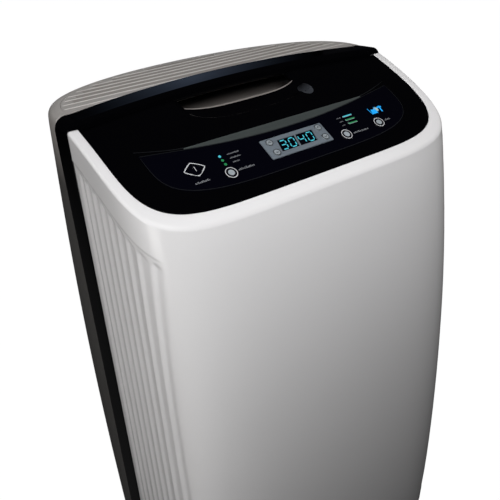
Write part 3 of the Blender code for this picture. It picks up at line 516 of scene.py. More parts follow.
MATERIALS = {
    "white_shell": glossy("white_shell", (0.78, 0.775, 0.785), 0.225, 0.04, (0.66, 0.65, 0.64),
                          Coat_Weight=0.15, Coat_Roughness=0.15),
    "black_gloss": glossy("black_gloss", (0.0008, 0.0008, 0.0012), 0.06, 0.06, DUST, 0.2),
    "panel_black": glossy("panel_black", (0.0010, 0.0010, 0.0030), 0.10, 0.06, DUST, 0.2),
    # The housing is one grey plastic; its darker grey below the louvre's shoulder is painted shade.
    "grey_housing": painted_shade_by_height("grey_housing", (0.10, 0.097, 0.094), (0.43, 0.41, 0.395),
                             0.565, 0.625),
    "louvre_grey": moulded("louvre_grey", (0.43, 0.41, 0.395), 0.36, 1500.0, 0.00006),
    # lip_grey: lighter than the black deck, a painted highlight along the pocket's lower edge.
    "lip_grey": moulded("lip_grey", (0.24, 0.22, 0.21), 0.30, 1500.0, 0.00004),
    # rib_grey: lighter than the louvre's own grey, painted highlights along the slats' front edges.
    "rib_grey": moulded("rib_grey", (0.62, 0.60, 0.585), 0.34, 1500.0, 0.00004),
    # dimple_grey: a painted reflection, lighter at the dimple's front and fading to black towards its
    # back.
    "dimple_grey": painted_light_hollow("dimple_grey", "Y", (0.042, 0.046, 0.054), (0.0015, 0.0015, 0.002),
                           BAND_Y - 0.0235, BAND_Y - 0.0125),
    # blade_grey: the louvre's grey darkened, painted shade on the blades down in the slots.
    "blade_grey": moulded("blade_grey", (0.24, 0.225, 0.212), 0.40, 1500.0, 0.00006),
    "dark_plastic": moulded("dark_plastic", (0.032, 0.032, 0.035), 0.48, 1300.0, 0.00008),
    # cup_plastic: painted shade, lighter low in the pocket and near black up under the bar.
    "cup_plastic": painted_light_hollow("cup_plastic", "Z", (0.17, 0.155, 0.145), (0.004, 0.004, 0.005),
                           0.6000, 0.6100),
    "silver_trim": brushed("silver_trim", (0.175, 0.207, 0.240), 0.38, 0.25, (0.04, 1.0, 1.0)),
    "graphite_trim": brushed("graphite_trim", (0.060, 0.070, 0.069), 0.36, 0.2, (0.03, 1.0, 1.0)),
    "outline_grey": brushed("outline_grey", (0.0065, 0.0070, 0.0080), 0.40, 0.0, (1.0, 1.0, 1.0)),
    # The plain prints glow faintly though nothing lights them: painted light.
    "print_white": glowing("print_white", (0.62, 0.63, 0.65), 0.05),
    "print_grey": glowing("print_grey", (0.27, 0.28, 0.30), 0.03),
    "key_grey": brushed("key_grey", (0.34, 0.38, 0.41), 0.38, 0.2, (0.1, 1.0, 1.0)),
    "lit_cyan": glowing("lit_cyan", (0.05, 0.36, 0.44), 0.75),
    "lit_green": glowing("lit_green", (0.015, 0.17, 0.055), 0.65),
    "lit_blue": glowing("lit_blue", (0.012, 0.27, 0.66), 0.8),
    "bucket_plastic": moulded("bucket_plastic", (0.10, 0.097, 0.094), 0.30, 1500.0, 0.00005),
    "clear_window": glossy("clear_window", (0.10, 0.12, 0.13), 0.05, 0.05, DUST, 0.1),
    "filter_net": netted("filter_net"),
    "aluminium_fin": finned("aluminium_fin"),
    "copper_tube": metal("copper_tube", (0.72, 0.38, 0.25), 0.28, (0.34, 0.17, 0.11), 40.0),
    "steel_black": moulded("steel_black", (0.020, 0.020, 0.021), 0.34, 700.0, 0.0001, worn=3.0),
    "steel_plain": metal("steel_plain", (0.55, 0.56, 0.57), 0.32, (0.36, 0.37, 0.38), 60.0),
    "rubber": moulded("rubber", (0.022, 0.022, 0.023), 0.75, 900.0, 0.0001, worn=1.8),
    "board_green": circuit("board_green"),
    "light_guide": glowing("light_guide", (0.40, 0.55, 0.56), 0.1),
}


# ---------------------------------------------------------------- mesh helpers
def linked(name, bm):
    """An object in the scene made from a bmesh, which is used up."""
    mesh = bpy.data.meshes.new(name)
    bm.to_mesh(mesh)
    bm.free()
    obj = bpy.data.objects.new(name, mesh)
    bpy.context.scene.collection.objects.link(obj)
    return obj


def evaluated(obj):
    """A bmesh of an object with its modifiers applied."""
    graph = bpy.context.evaluated_depsgraph_get()
    mesh = bpy.data.meshes.new_from_object(obj.evaluated_get(graph))
    bm = bmesh.new()
    bm.from_mesh(mesh)
    bpy.data.meshes.remove(mesh)
    return bm


def discard(obj):
    mesh = obj.data
    bpy.data.objects.remove(obj, do_unlink=True)
    bpy.data.meshes.remove(mesh)


def piece(name, bm, mat, body="casing", stands_for=(), sharp=35):
    """Turns a bmesh in the part's own coordinates into a piece that rides on a body."""
    bmesh.ops.translate(bm, verts=bm.verts, vec=(0.0, BAND_Y, 0.0))
    obj = linked(name, bm)
    obj.data.materials.append(MATERIALS[mat])
    obj.data.shade_smooth()
    obj.data.set_sharp_from_angle(angle=math.radians(sharp))
    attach(obj, body)
    if stands_for:
        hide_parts(*stands_for)
    return obj


def grid(rows, closed=False, caps=False):
    """A bmesh skin over rows of points of equal count."""
    bm = bmesh.new()
    verts = [[bm.verts.new(p) for p in row] for row in rows]
    count = len(rows[0])
    for upper, lower in zip(verts, verts[1:]):
        for i in range(count if closed else count - 1):
            j = (i + 1) % count
            bm.faces.new((upper[i], upper[j], lower[j], lower[i]))
    if caps:
        bm.faces.new(verts[0])
        bm.faces.new(reversed(verts[-1]))
    bmesh.ops.recalc_face_normals(bm, faces=bm.faces)
    return bm


def thick_grid(rows, depth, inward):
    """A closed plate: rows of surface points, and the same points moved by inward * depth."""
    lower = [[Vector(p) + Vector(inward) * depth for p in row] for row in rows]
    bm = bmesh.new()
    top = [[bm.verts.new(p) for p in row] for row in rows]
    base = [[bm.verts.new(p) for p in row] for row in lower]
    last_row, last = len(rows) - 1, len(rows[0]) - 1
    for r in range(last_row):
        for i in range(last):
            bm.faces.new((top[r][i], top[r][i + 1], top[r + 1][i + 1], top[r + 1][i]))
            bm.faces.new((base[r][i], base[r + 1][i], base[r + 1][i + 1], base[r][i + 1]))
        for i in (0, last):
            bm.faces.new((top[r][i], top[r + 1][i], base[r + 1][i], base[r][i]))
    for r in (0, last_row):
        for i in range(last):
            bm.faces.new((top[r][i], top[r][i + 1], base[r][i + 1], base[r][i]))
    bmesh.ops.recalc_face_normals(bm, faces=bm.faces)
    return bm


def between(lower, upper):
    """A closed solid between two loops of points, flat at both ends."""
    bm = bmesh.new()
    rows = [[bm.verts.new(p) for p in row] for row in (lower, upper)]
    for row in rows:
        bm.faces.new(row)
    for i in range(len(lower)):
        j = (i + 1) % len(lower)
        bm.faces.new((rows[0][i], rows[0][j], rows[1][j], rows[1][i]))
    bmesh.ops.recalc_face_normals(bm, faces=bm.faces)
    return bm


def prism(outline, low, high):
    """A closed prism over a plan outline, between two heights."""
    return between([(x, y, low) for x, y in outline], [(x, y, high) for x, y in outline])


def merged(*parts):
    """Several bmeshes as one."""
    result = bmesh.new()
    for part in parts:
        mesh = bpy.data.meshes.new("part")
        part.to_mesh(mesh)
        part.free()
        result.from_mesh(mesh)
        bpy.data.meshes.remove(mesh)
    return result


def carved(bm, cutter, operation="DIFFERENCE"):
    """A bmesh after an exact Boolean with another, both in the part's own coordinates."""
    target = linked("target", bm)
    knife = linked("cutter", cutter)
    modifier = target.modifiers.new("cut", "BOOLEAN")
    modifier.operation = operation
    modifier.solver = "EXACT"
    modifier.object = knife
    result = evaluated(target)
    discard(target)
    discard(knife)
    return result


def box(low, high):
    low, high = Vector(low), Vector(high)
    place = Matrix.Translation((low + high) / 2) @ Matrix.Diagonal((*(high - low), 1.0))
    bm = bmesh.new()
    bmesh.ops.create_cube(bm, size=1.0, matrix=place)
    return bm


def rounded_box(low, high, radius, segments=3):
    bm = box(low, high)
    bmesh.ops.bevel(bm, geom=bm.edges[:], offset=radius, segments=segments, profile=0.5,
                    affect="EDGES")
    return bm


def lathe(profile, steps=40):
    """A body of revolution about Z from (radius, height) points whose ends are on the axis."""
    bm = bmesh.new()
    ends = [bm.verts.new((0.0, 0.0, profile[i][1])) for i in (0, -1)]
    rings = []
    for radius, height in profile[1:-1]:
        rings.append([bm.verts.new((radius * u, radius * v, height)) for u, v in round_steps(steps)])
    for k in range(steps):
        j = (k + 1) % steps
        bm.faces.new((ends[0], rings[0][k], rings[0][j]))
        bm.faces.new((ends[1], rings[-1][j], rings[-1][k]))
        for upper, lower in zip(rings, rings[1:]):
            bm.faces.new((upper[k], upper[j], lower[j], lower[k]))
    bmesh.ops.recalc_face_normals(bm, faces=bm.faces)
    return bm


def pipe(route, radius, sides=8, closed=False):
    """A round bead along a route of points."""
    places = [Vector(p) for p in route]
    count = len(places)
    rows = []
    for i, place in enumerate(places):
        before = places[i - 1] if closed or i else place
        after = places[(i + 1) % count] if closed or i < count - 1 else place
        along = (after - before).normalized()
        side = along.cross(Vector((0.0, 0.0, 1.0)))
        if side.length < 0.01:
            side = along.cross(Vector((0.0, 1.0, 0.0)))
        side.normalize()
        up = side.cross(along)
        size = radius(i / (count - 1)) if callable(radius) else radius
        rows.append([place + (side * u + up * v) * size for u, v in round_steps(sides)])
    if closed:
        rows.append(rows[0])
    bm = grid(rows, closed=True, caps=not closed)
    bmesh.ops.remove_doubles(bm, verts=bm.verts, dist=1e-7)
    return bm


# ---------------------------------------------------------------- front shell


def front_columns():
    """Half of the shell's columns, from the band to the middle of the face."""
    sides = [("side", SIDE_END * k / 88) for k in range(89)]
    corner = [("corner", k / 22) for k in range(1, 22)]
    face = [("face", FACE_HALF * (1 - k / 12)) for k in range(13)]
    return sides + corner + face


def column_shares(column, z):
    """Unit superellipse coordinates of a column at one height."""
    kind, value = column
    depth = front_bulge(z)
    if kind == "side":
        share = value / depth
        return other_share(share), share
    if kind == "face":
        share = value / HALF_WIDTH
        return share, other_share(share)
    start = SIDE_END / depth
    end = FACE_HALF / HALF_WIDTH
    first = math.atan2(start, other_share(start))
    last = math.atan2(other_share(end), end)
    angle = first + (last - first) * value
    across, along = math.cos(angle), math.sin(angle)
    reach = (across ** CORNER_POWER + along ** CORNER_POWER) ** (-1 / CORNER_POWER)
    return across * reach, along * reach


def front_place(column, z, inset=0.0):
    across, along = column_shares(column, z)
    return (HALF_WIDTH - inset) * across, -(front_bulge(z) - inset) * along


def rim_place(column, inset):
    z = RIM_HEIGHT
    for _ in range(8):
        x, y = front_place(column, z, inset)
        z = rim_z(y)
    return x, y, z


def flute_height(y):
    """0 to 1 across each flute: a slope outwards, then a quick turn back in."""
    turn = (-y - FLUTE_FIRST) / FLUTE_PITCH + FLUTE_RISE
    if turn < 0 or turn > FLUTE_COUNT:
        return 0.0
    part = turn % 1.0
    if part < FLUTE_RISE:
        return (part / FLUTE_RISE) ** 1.7
    return 0.5 + 0.5 * math.cos(math.pi * (part - FLUTE_RISE) / (1 - FLUTE_RISE))


def side_relief(y, z):
    """How far the fluted field of the side lies inside the plain wall."""
    drop = rim_z(y) - z
    line = 0.0250 - 0.035 * y
    front_fade = 1 - smooth(-y, 0.1010, 0.1085)
    step = STEP_DEPTH * smooth(drop, line, line + 0.0016) * front_fade
    flute_top = line + 0.0035 + 0.0015 * flute_height(y)
    share = smooth(drop, flute_top, flute_top + 0.0060) * smooth(z, 0.052, 0.060)
    share *= smooth(-y, 0.0070, 0.0095) * front_fade
    return step + share * FLUTE_DEPTH * (1 - flute_height(y))


def rim_section():
    """(inset, drop) round the rim, from the deck's edge to the outer wall."""
    inner = [(0.0103, 0.0030), (0.0103, 0.0009), (0.0099, 0.0003), (0.0092, 0.0001), (0.0070, 0.0)]
    outer = []
    for k in range(10):
        angle = math.pi / 2 * k / 9
        outer.append((RIM_ROUND * (1 - math.sin(angle)), RIM_ROUND * (1 - math.cos(angle))))
    return inner + outer


def make_front_shell():
    foot = [(0.0, 0.0100), (0.0006, 0.0072), (0.0020, 0.0044), (0.0040, 0.0020), (0.0064, 0.0006),
            (0.0092, 0.0), (0.0120, 0.0)]
    half = []
    for column in front_columns():
        line = []
        for inset, drop in rim_section():
            x, y, z = rim_place(column, inset)
            line.append(Vector((x, y, z - drop)))
        x, y, z = line[-1]
        top = z
        drops = [0.012, 0.018, 0.022] + [0.024 + 0.0011 * k for k in range(22)] + [0.052, 0.060]
        heights = [top + RIM_ROUND - drop for drop in drops]
        low = SHELL_BOTTOM + foot[0][1]
        middle = heights[-1]
        heights += [middle + (0.062 - middle) * k / 16 for k in range(1, 17)]
        heights += [0.060, 0.058, 0.056, 0.054, 0.052, 0.045, 0.038, low]
        for z in heights:
            x, y = front_place(column, z)
            line.append(Vector((x - side_relief(y, z) * (column[0] != "face"), y, z)))
        for inset, rise in foot[1:]:
            z = SHELL_BOTTOM + rise
            line.append(Vector((*front_place(column, z, inset), z)))
        half.append(line)
    left = [[Vector((-p.x, p.y, p.z)) for p in line] for line in half]
    bm = grid(left + half[-2::-1])
    obj = piece("front_shell_fine", bm, "white_shell", stands_for=["front_shell"],
                sharp=60)
    modifier = obj.modifiers.new("wall", "SOLIDIFY")
    modifier.thickness = WALL
    modifier.offset = -1.0
    modifier.use_even_offset = False


# ---------------------------------------------------------------- top deck


def recess(x, y):
    """Depth of the shallow hand recess and of the round dimple at its right end."""
    across = (x - RECESS_CENTRE) / RECESS_REACH
    along = min(0.0, y) / RECESS_FRONT
    far = (abs(across) ** 3 + abs(along) ** 3) ** (1 / 3)
    depth = RECESS_DEPTH * (1 - smooth(far, 0.90, 1.0))
    away = math.hypot(x - DIMPLE[0], y - DIMPLE[1]) / DIMPLE_RADIUS
    if away < 1.0:
        depth = max(depth, 0.0) + DIMPLE_DEPTH * (1 - away * away) * smooth(1 - away, 0.0, 0.12)
    return depth


def deck_places(edge):
    """Rows of deck points, from the bar to the front rim, inset by edge from the outline."""
    shares = [0.27 * k / 48 for k in range(48)] + [0.27 + 0.5 * k / 18 for k in range(18)]
    columns = [("side", FRONT_DEPTH * share * 0.9) for share in shares]
    columns += [("corner", 0.02 + 0.94 * k / 18) for k in range(19)]
    columns += [("face", FACE_HALF * share) for share in (0.98, 0.9, 0.75, 0.5, 0.25, 0.06)]
    fine = [0.095 * k / 95 for k in range(-95, 96)]
    outer = [0.095 + 0.0846 * k / 12 for k in range(1, 13)]
    spread = [-x for x in reversed(outer)] + fine + outer
    rows = []
    last_y = 1.0
    for column in columns:
        x_edge, y_row, _ = rim_place(column, edge)
        if y_row > last_y - 0.0002:
            continue
        last_y = y_row
        line = []
        for x_full in spread:
            x = x_full / spread[-1] * x_edge
            y = y_row + max(0.0, 1 + y_row / 0.03) * (bar_front(x) - DECK_SETBACK)
            line.append((x, y))
        rows.append(line)
    return rows


def deck_grid(relief, above=0.0):
    """The deck's surface as a closed plate."""
    rows = []
    for line in deck_places(RIM_WIDTH - 0.0004):
        rows.append([(x, y, rim_z(y) - DECK_DROP + above - (recess(x, y) if relief else 0.0))
                     for x, y in line])
    return thick_grid(rows, DECK_THICK, (0.0, 0.0, -1.0))


def mirrored(half):
    return half + [(-x, y) for x, y in reversed(half) if abs(x) > 1e-6]


def panel_outline(margin):
    """Right half of the boat-shaped panel's outline, grown by margin."""
    half = []
    for step in range(49):
        angle = math.pi / 2 * step / 48
        x = (PANEL_HALF_WIDTH + margin) * math.sin(angle) ** (2 / PANEL_POWER)
        y = PANEL_CENTRE_Y - (PANEL_DEPTH + margin) * math.cos(angle) ** (2 / PANEL_POWER)
        half.append((x, y))
    half[-1] = (PANEL_HALF_WIDTH + margin, CRESCENT_Y + PANEL_TIP + margin)
    for step in range(33):
        x = CRESCENT_HALF * (1 - step / 32)
        half.append((x, crescent_low(x) + margin))
    return half


def crescent_low(x):
    return CRESCENT_Y - CRESCENT_DEPTH * max(0.0, 1 - (x / CRESCENT_HALF) ** 2)


def crescent_outline(margin):
    reach = CRESCENT_HALF - 0.004 + margin
    half = [(reach * step / 32, crescent_low(reach * step / 32) - margin) for step in range(33)]
    return half + [(reach, CRESCENT_Y + 0.0003 + margin)]


def pocket_outline(margin=0.0):
    middle, reach = -0.010, 0.066 + margin
    half = []
    for step in range(65):
        s = -1 + step / 32
        half.append((middle + reach * s, -0.0115 - margin + 0.0080 * s ** 4))
    return half


def on_deck(x, y, above=0.0):
    """A point at a height over the deck's surface, square to it."""
    tilt = rim_slope(y)
    z = rim_z(y) - DECK_DROP
    return Vector((x, y - above * math.sin(tilt), z + above * math.cos(tilt)))


def stand_on_deck(bm, x, y):
    """Moves a bmesh made about the origin so that its Z stands square on the deck."""
    turn = Matrix.Rotation(rim_slope(y), 4, "X")
    place = Matrix.Translation(on_deck(x, y)) @ turn
    bmesh.ops.transform(bm, matrix=place, verts=bm.verts)
    return bm


def deck_carved(bm, outline, operation="DIFFERENCE"):
    """The deck's plate after a cut straight down along a plan outline."""
    return carved(bm, prism(outline, *DECK_CUT), operation)


def drill(radius, steps=40, half=0.01):
    """A round cutter about the origin, along Z."""
    return lathe([(0, half), (radius, half), (radius, -half), (0, -half)], steps)


def make_deck():
    bm = deck_grid(relief=True)
    bm = deck_carved(bm, mirrored(panel_outline(CLEARANCE)))
    bm = deck_carved(bm, mirrored(crescent_outline(CLEARANCE)))
    lens = pocket_outline()
    bm = deck_carved(bm, lens + [(lens[-1][0], 0.03), (lens[0][0], 0.03)])
    piece("top_deck_fine", bm, "black_gloss", stands_for=["top_deck"])
    # The dimple's dish floats on the deck with a painted reflection in its colour.
    rows = []
    for step in range(1, 15):
        radius = DIMPLE_RADIUS * 0.93 * step / 14
        line = []
        for u, v in round_steps(40):
            x = DIMPLE[0] + radius * u
            y = DIMPLE[1] + radius * v
            line.append((x, y, rim_z(y) - DECK_DROP - recess(x, y) + 0.00008))
        rows.append(line)
    dish = thick_grid([line + line[:1] for line in rows], 0.0006, (0.0, 0.0, -1.0))
    bmesh.ops.remove_doubles(dish, verts=dish.verts, dist=1e-7)
    piece("recess_dimple", dish, "dimple_grey")
    # A grey bead, thickest at its middle, paints the highlight on the pocket's lower lip.
    lip = []
    for x, y in pocket_outline(0.0002):
        lip.append((x, y, rim_z(y) - DECK_DROP - RECESS_DEPTH - 0.0002))
    bead = pipe(lip, lambda t: 0.00030 + 0.00065 * math.sin(math.pi * t) ** 0.5, 10)
    piece("pocket_lip", bead, "lip_grey")


def make_cup():
    """The finger pocket: a smooth scoop from the lens to under the bar."""
    rows = []
    for row in range(17):
        t = row / 16
        turn = math.pi / 2 * t
        wide = 0.0800 * (0.55 + 0.45 * math.cos(turn))
        deep = 0.0285 - 0.0125 * math.sin(turn)
        z = 0.6104 - 0.0200 * math.sin(turn)
        rows.append([(wide * power(u, 0.55), 0.0160 + deep * power(v, 0.75), z)
                     for u, v in round_steps(48)])
    bm = grid(rows, closed=True)
    bm.verts.ensure_lookup_table()
    bm.faces.new(bm.verts[-48:])
    # The pocket's colour paints its shade: dark near the top, under the bar.
    obj = piece("handle_cup_fine", bm, "cup_plastic", stands_for=["handle_cup"],
                sharp=50)
    modifier = obj.modifiers.new("wall", "SOLIDIFY")
    modifier.thickness = 0.0016
    modifier.offset = 1.0


# ---------------------------------------------------------------- control panel
def stroke(points, width, above=PRINT_ABOVE, closed=False):
    """A thin raised line of even width that follows the deck's surface."""
    flat = [Vector(p) for p in points]
    count = len(flat)
    rows = []
    for i, place in enumerate(flat):
        before = flat[i - 1] if closed or i else place
        after = flat[(i + 1) % count] if closed or i < count - 1 else place
        along = (after - before).normalized()
        side = Vector((-along.y, along.x)) * (width(i / (count - 1)) if callable(width) else width)
        a, b = place + side / 2, place - side / 2
        upper = above + PRINT_THICK
        rows.append([on_deck(*a, above), on_deck(*a, upper), on_deck(*b, upper), on_deck(*b, above)])
    if closed:
        rows.append(rows[0])
    bm = grid(rows, closed=True, caps=not closed)
    bmesh.ops.remove_doubles(bm, verts=bm.verts, dist=1e-8)
    return bm


def patch(outline, above=PRINT_ABOVE):
    """A thin raised print with any outline that follows the deck's surface."""
    return between([on_deck(x, y, above) for x, y in outline],
                   [on_deck(x, y, above + PRINT_THICK) for x, y in outline])


def deck_circle(x, y, radius, steps):
    """Plan points of a circle that lies on the sloping deck."""
    tall = radius * math.cos(rim_slope(y))
    return [(x + radius * u, y + tall * v) for u, v in round_steps(steps)]


def ring(x, y, radius, width, above):
    return stroke(deck_circle(x, y, radius, 40), width, above, closed=True)


def disc(x, y, radius, above):
    return patch(deck_circle(x, y, radius, 32), above)


def dashes(x, y, length, height, seed):
    """A row of tiny unreadable dashes in the place of a printed caption."""
    parts = []
    reach = x
    step = 0
    while reach < x + length - height * 0.3:
        wide = height * (0.55 + 0.35 * ((seed * 7 + step * 5) % 4) / 3)
        tall = height * (0.62 + 0.38 * ((seed * 3 + step * 7) % 3) / 2)
        end = reach + wide * 0.7
        for low, high in ((y, y + tall * 0.28), (y + tall * 0.5, y + tall * 0.75)):
            parts.append(patch([(reach, low), (end, low), (end, high), (reach, high)]))
        reach += wide
        step += 1
    return merged(*parts)


def make_panel():
    bm = deck_grid(relief=False)
    bm = deck_carved(bm, mirrored(panel_outline(0.0)), "INTERSECT")
    bm = deck_carved(bm, mirrored(crescent_outline(CLEARANCE)))
    holes = []
    for x, y in BUTTONS.values():
        holes.append(stand_on_deck(drill(BUTTON_RADIUS + CLEARANCE), x, y))
    wide, tall = DISPLAY_HALF + GAP, DISPLAY_HEIGHT / 2 + GAP
    window = rounded_box((-wide, -tall, -0.01), (wide, tall, 0.01), 0.0012)
    holes.append(stand_on_deck(window, 0.0, DISPLAY_Y))
    for x, y in MODE_LIGHTS:
        holes.append(stand_on_deck(drill(LIGHT_DOT_RADIUS, 16), x, y))
    for x, y in FAN_LIGHTS:
        holes.append(stand_on_deck(box((-0.0063, -0.0011, -0.01), (0.0063, 0.0011, 0.01)), x, y))
    holes.append(stand_on_deck(drill(PUMP_HOLE_RADIUS, 24), *PUMP_LIGHT))
    bm = carved(bm, merged(*holes))
    piece("control_panel_fine", bm, "panel_black", stands_for=["control_panel"])

    outline = mirrored(panel_outline(-0.0006))
    piece("panel_outline", stroke(outline, 0.0007, closed=True), "outline_grey")

    bm = deck_grid(relief=False, above=0.0003)
    bm = deck_carved(bm, mirrored(crescent_outline(0.0)), "INTERSECT")
    piece("crescent_trim_fine", bm, "graphite_trim", stands_for=["crescent_trim"])
    tips = []
    for side in (-1, 1):
        points = []
        for k in range(11):
            along = k / 10
            points.append((side * (0.1075 + 0.0440 * along),
                           CRESCENT_Y + 0.0006 + 0.0092 * along ** 1.3))
        tips.append(stroke(points, lambda t: 0.0010 - 0.0005 * t))
    piece("crescent_tips", merged(*tips), "outline_grey")




def digit(mark, x, y, wide, tall, slant):
    """One seven-segment numeral, its lower left corner at x, y."""
    parts = []
    for key in DIGITS[mark]:
        ends = []
        for u, v in SEGMENTS[key]:
            ends.append((x + u * wide + v * slant, y + v * tall))
        parts.append(stroke(ends, 0.00095, above=0.00050))
    return merged(*parts)


def window_outline(x, shrink=0.0):
    """One slanted window of the display plate, made smaller all round by shrink."""
    wide, narrow, half = 0.0106 - shrink, 0.0100 - shrink, 0.0068 - shrink
    lean = WINDOW_SLANT / 2
    return [(x - wide - lean, -half), (x + narrow - lean, -half), (x + wide + lean, half),
            (x - narrow + lean, half)]


def make_display():
    height = DISPLAY_HEIGHT / 2
    plate = rounded_box((-DISPLAY_HALF, -height, -0.0022), (DISPLAY_HALF, height, 0.0008), 0.0008)
    windows = [prism(window_outline(x), -0.01, 0.01) for x in WINDOW_CENTRES]
    for x, y in LEVEL_BUTTONS.values():
        rise = (y - DISPLAY_Y) / math.cos(rim_slope(DISPLAY_Y))
        hole = drill(LEVEL_RADIUS + GAP, 28)
        bmesh.ops.translate(hole, verts=hole.verts, vec=(x, rise, 0.0))
        windows.append(hole)
    plate = carved(plate, merged(*windows))
    piece("display_plate", stand_on_deck(plate, 0.0, DISPLAY_Y), "silver_trim",
          stands_for=["display_bezel"])

    panes = [prism(window_outline(x, 0.0002), -0.0035, 0.0003) for x in WINDOW_CENTRES]
    glass = merged(rounded_box((-0.0225, -0.0085, -0.0045), (0.0225, 0.0085, -0.0025), 0.0005), *panes)
    piece("display_glass_fine", stand_on_deck(glass, 0.0, DISPLAY_Y), "panel_black",
          stands_for=["display_glass"])
    tilt = math.cos(rim_slope(DISPLAY_Y))
    tall = 0.0102 * tilt
    base = DISPLAY_Y - tall / 2
    numerals = []
    for mark, x in zip("3040", (-0.0202, -0.0101, 0.0018, 0.0119)):
        numerals.append(digit(mark, x, base, 0.0062, tall, 0.0018))
    piece("display_numerals", merged(*numerals), "lit_cyan")


def cap_profile(radius, top, flange):
    return [(0.0, top), (radius * 0.3, top), (radius * 0.7, top), (radius - 0.0007, top - 0.00003),
            (radius - 0.0003, top - 0.00015), (radius - 0.0001, top - 0.0004), (radius, top - 0.0008),
            (radius, -0.0044), (flange, -0.0044), (flange, -0.0054), (0.0018, -0.0054),
            (0.0018, -0.0062), (0.0, -0.0062)]


def icon_arrow(x, y, upward):
    size = 0.0012 if upward else -0.0012
    points = [(x - 0.0013, y - size * 0.45), (x, y + size * 0.65), (x + 0.0013, y - size * 0.45)]
    return stroke(points, 0.00055, above=0.00165)


def make_buttons():
    for name, (x, y) in BUTTONS.items():
        body = name + "_cap"
        cap = lathe(cap_profile(BUTTON_RADIUS, 0.0007, BUTTON_RADIUS + 0.0012))
        piece(name + "_key", stand_on_deck(cap, x, y), "panel_black", body, [name])
        if name == "power_button":
            mark = stroke([(x + 0.0002, y + 0.0026), (x + 0.0003, y - 0.0018)], RING_WIDTH, 0.00075)
            piece("power_mark", mark, "print_white", body)
            continue
        piece(name + "_ring", ring(x, y, BUTTON_RADIUS - 0.0007, RING_WIDTH, 0.0007), "print_white",
              body)
        piece(name + "_disc", disc(x, y, LEVEL_RADIUS - 0.0005, 0.00072), "key_grey", body)
    for name, (x, y) in LEVEL_BUTTONS.items():
        body = name + "_cap"
        cap = lathe(cap_profile(LEVEL_RADIUS, 0.0016, LEVEL_RADIUS + 0.0008), 28)
        piece(name + "_key", stand_on_deck(cap, x, y), "key_grey", body, [name])
        marks = merged(ring(x, y, LEVEL_RADIUS - 0.0003, 0.0005, 0.0016),
                       icon_arrow(x, y, "_up_" in name))
        piece(name + "_mark", marks, "outline_grey", body)


def diamond(x, y, half_wide, half_tall):
    """The plan points of a diamond with softly bulging sides."""
    bulge = 1.16
    points = []
    for u, v in round_steps(48):
        reach = (abs(u) ** bulge + abs(v) ** bulge) ** (-1 / bulge)
        points.append((x + half_wide * u * reach, y + half_tall * v * reach))
    return points


def make_prints():
    x, y = BUTTONS["power_button"]
    piece("power_diamond", stroke(diamond(x, y + 0.0006, 0.0104, 0.0064), 0.0008, closed=True),
          "print_white")
    captions = [dashes(*place, seed + 1) for seed, place in enumerate(CAPTIONS)]
    piece("captions", merged(*captions), "print_grey")
    for index, (lx, ly) in enumerate(MODE_LIGHTS):
        piece(f"mode_dot_{index}", disc(lx, ly, 0.00135, above=0.00002),
              "lit_green" if index else "lit_cyan")
    skew = 0.0005
    for index, (lx, ly) in enumerate(FAN_LIGHTS):
        bar = [(lx - 0.0058 - skew, ly - 0.0005), (lx + 0.0056 - skew, ly - 0.0005),
               (lx + 0.0058 + skew, ly + 0.0005), (lx - 0.0056 + skew, ly + 0.0005)]
        piece(f"fan_bar_{index}", patch(bar, above=0.00002),
              "lit_green" if index else "lit_cyan")
    px, py = PUMP_LIGHT
    bucket = [(px - 0.0074, py + 0.0008), (px - 0.0014, py), (px - 0.0022, py - 0.0044),
              (px - 0.0090, py - 0.0044)]
    pieces = [patch(bucket),
              stroke([(px - 0.0102, py + 0.0028), (px - 0.0092, py - 0.0046)], 0.0006),
              stroke([(px - 0.0014, py + 0.0028), (px - 0.0018, py - 0.0046)], 0.0006),
              stroke([(px + 0.0020, py + 0.0012), (px + 0.0080, py + 0.0010)], 0.0016),
              stroke([(px + 0.0056, py + 0.0024), (px + 0.0048, py - 0.0044)], 0.0016)]
    piece("pump_icon", merged(*pieces), "lit_blue")


# ---------------------------------------------------------------- handle band
def band_stations():
    """Outer point, inward direction and thickness along the band, left foot to the middle."""
    stations = [((-HALF_WIDTH, 0.024 + 0.576 * k / 8), (1.0, 0.0), BAND_THICK) for k in range(9)]
    shoulder_x = -HALF_WIDTH + BAND_CORNER
    shoulder_z = BAR_END_HEIGHT - BAND_CORNER
    for step in range(17):
        turn = math.pi / 2 * step / 16
        outer = (shoulder_x - BAND_CORNER * math.cos(turn), shoulder_z + BAND_CORNER * math.sin(turn))
        thick = BAND_THICK + (BAR_THICK - BAND_THICK) * step / 16
        stations.append((outer, (math.cos(turn), -math.sin(turn)), thick))
    for step in range(1, 41):
        x = -(HALF_WIDTH - BAND_CORNER) * (1 - step / 40)
        stations.append(((x, BAR_END_HEIGHT + bow(x, BAR_CROWN)), (0.0, -1.0), BAR_THICK))
    return stations


def band_section(thick, front, rear):
    """(depth, y) round the band: a slightly crowned outer face with rounded edges."""
    radius = min(0.0013, thick * 0.4)
    crown = 0.0001
    points = []
    for k in range(9):
        v = -1 + k / 4
        points.append((crown * v * v, (front + rear) / 2 + v * ((rear - front) / 2 - radius)))
    corners = ((crown + radius, rear - radius, 90), (thick - radius, rear - radius, 0),
               (thick - radius, front + radius, -90), (crown + radius, front + radius, -180))
    for depth, y, start in corners:
        for k in range(1, 6) if start in (90, -180) else range(6):
            a = math.radians(start - 18 * k)
            points.append((depth - radius * math.sin(a), y + radius * math.cos(a)))
    return points


def make_band():
    half = band_stations()
    right = [((-p[0], p[1]), (-d[0], d[1]), thick) for p, d, thick in reversed(half[:-1])]
    rows = []
    for (x, z), (dx, dz), thick in half + right:
        section = band_section(thick, bar_front(x), bar_rear(x))
        rows.append([(x + dx * depth, y, z + dz * depth) for depth, y in section])
    piece("handle_band_fine", grid(rows, closed=True, caps=True), "black_gloss",
          stands_for=["handle_band"], sharp=50)


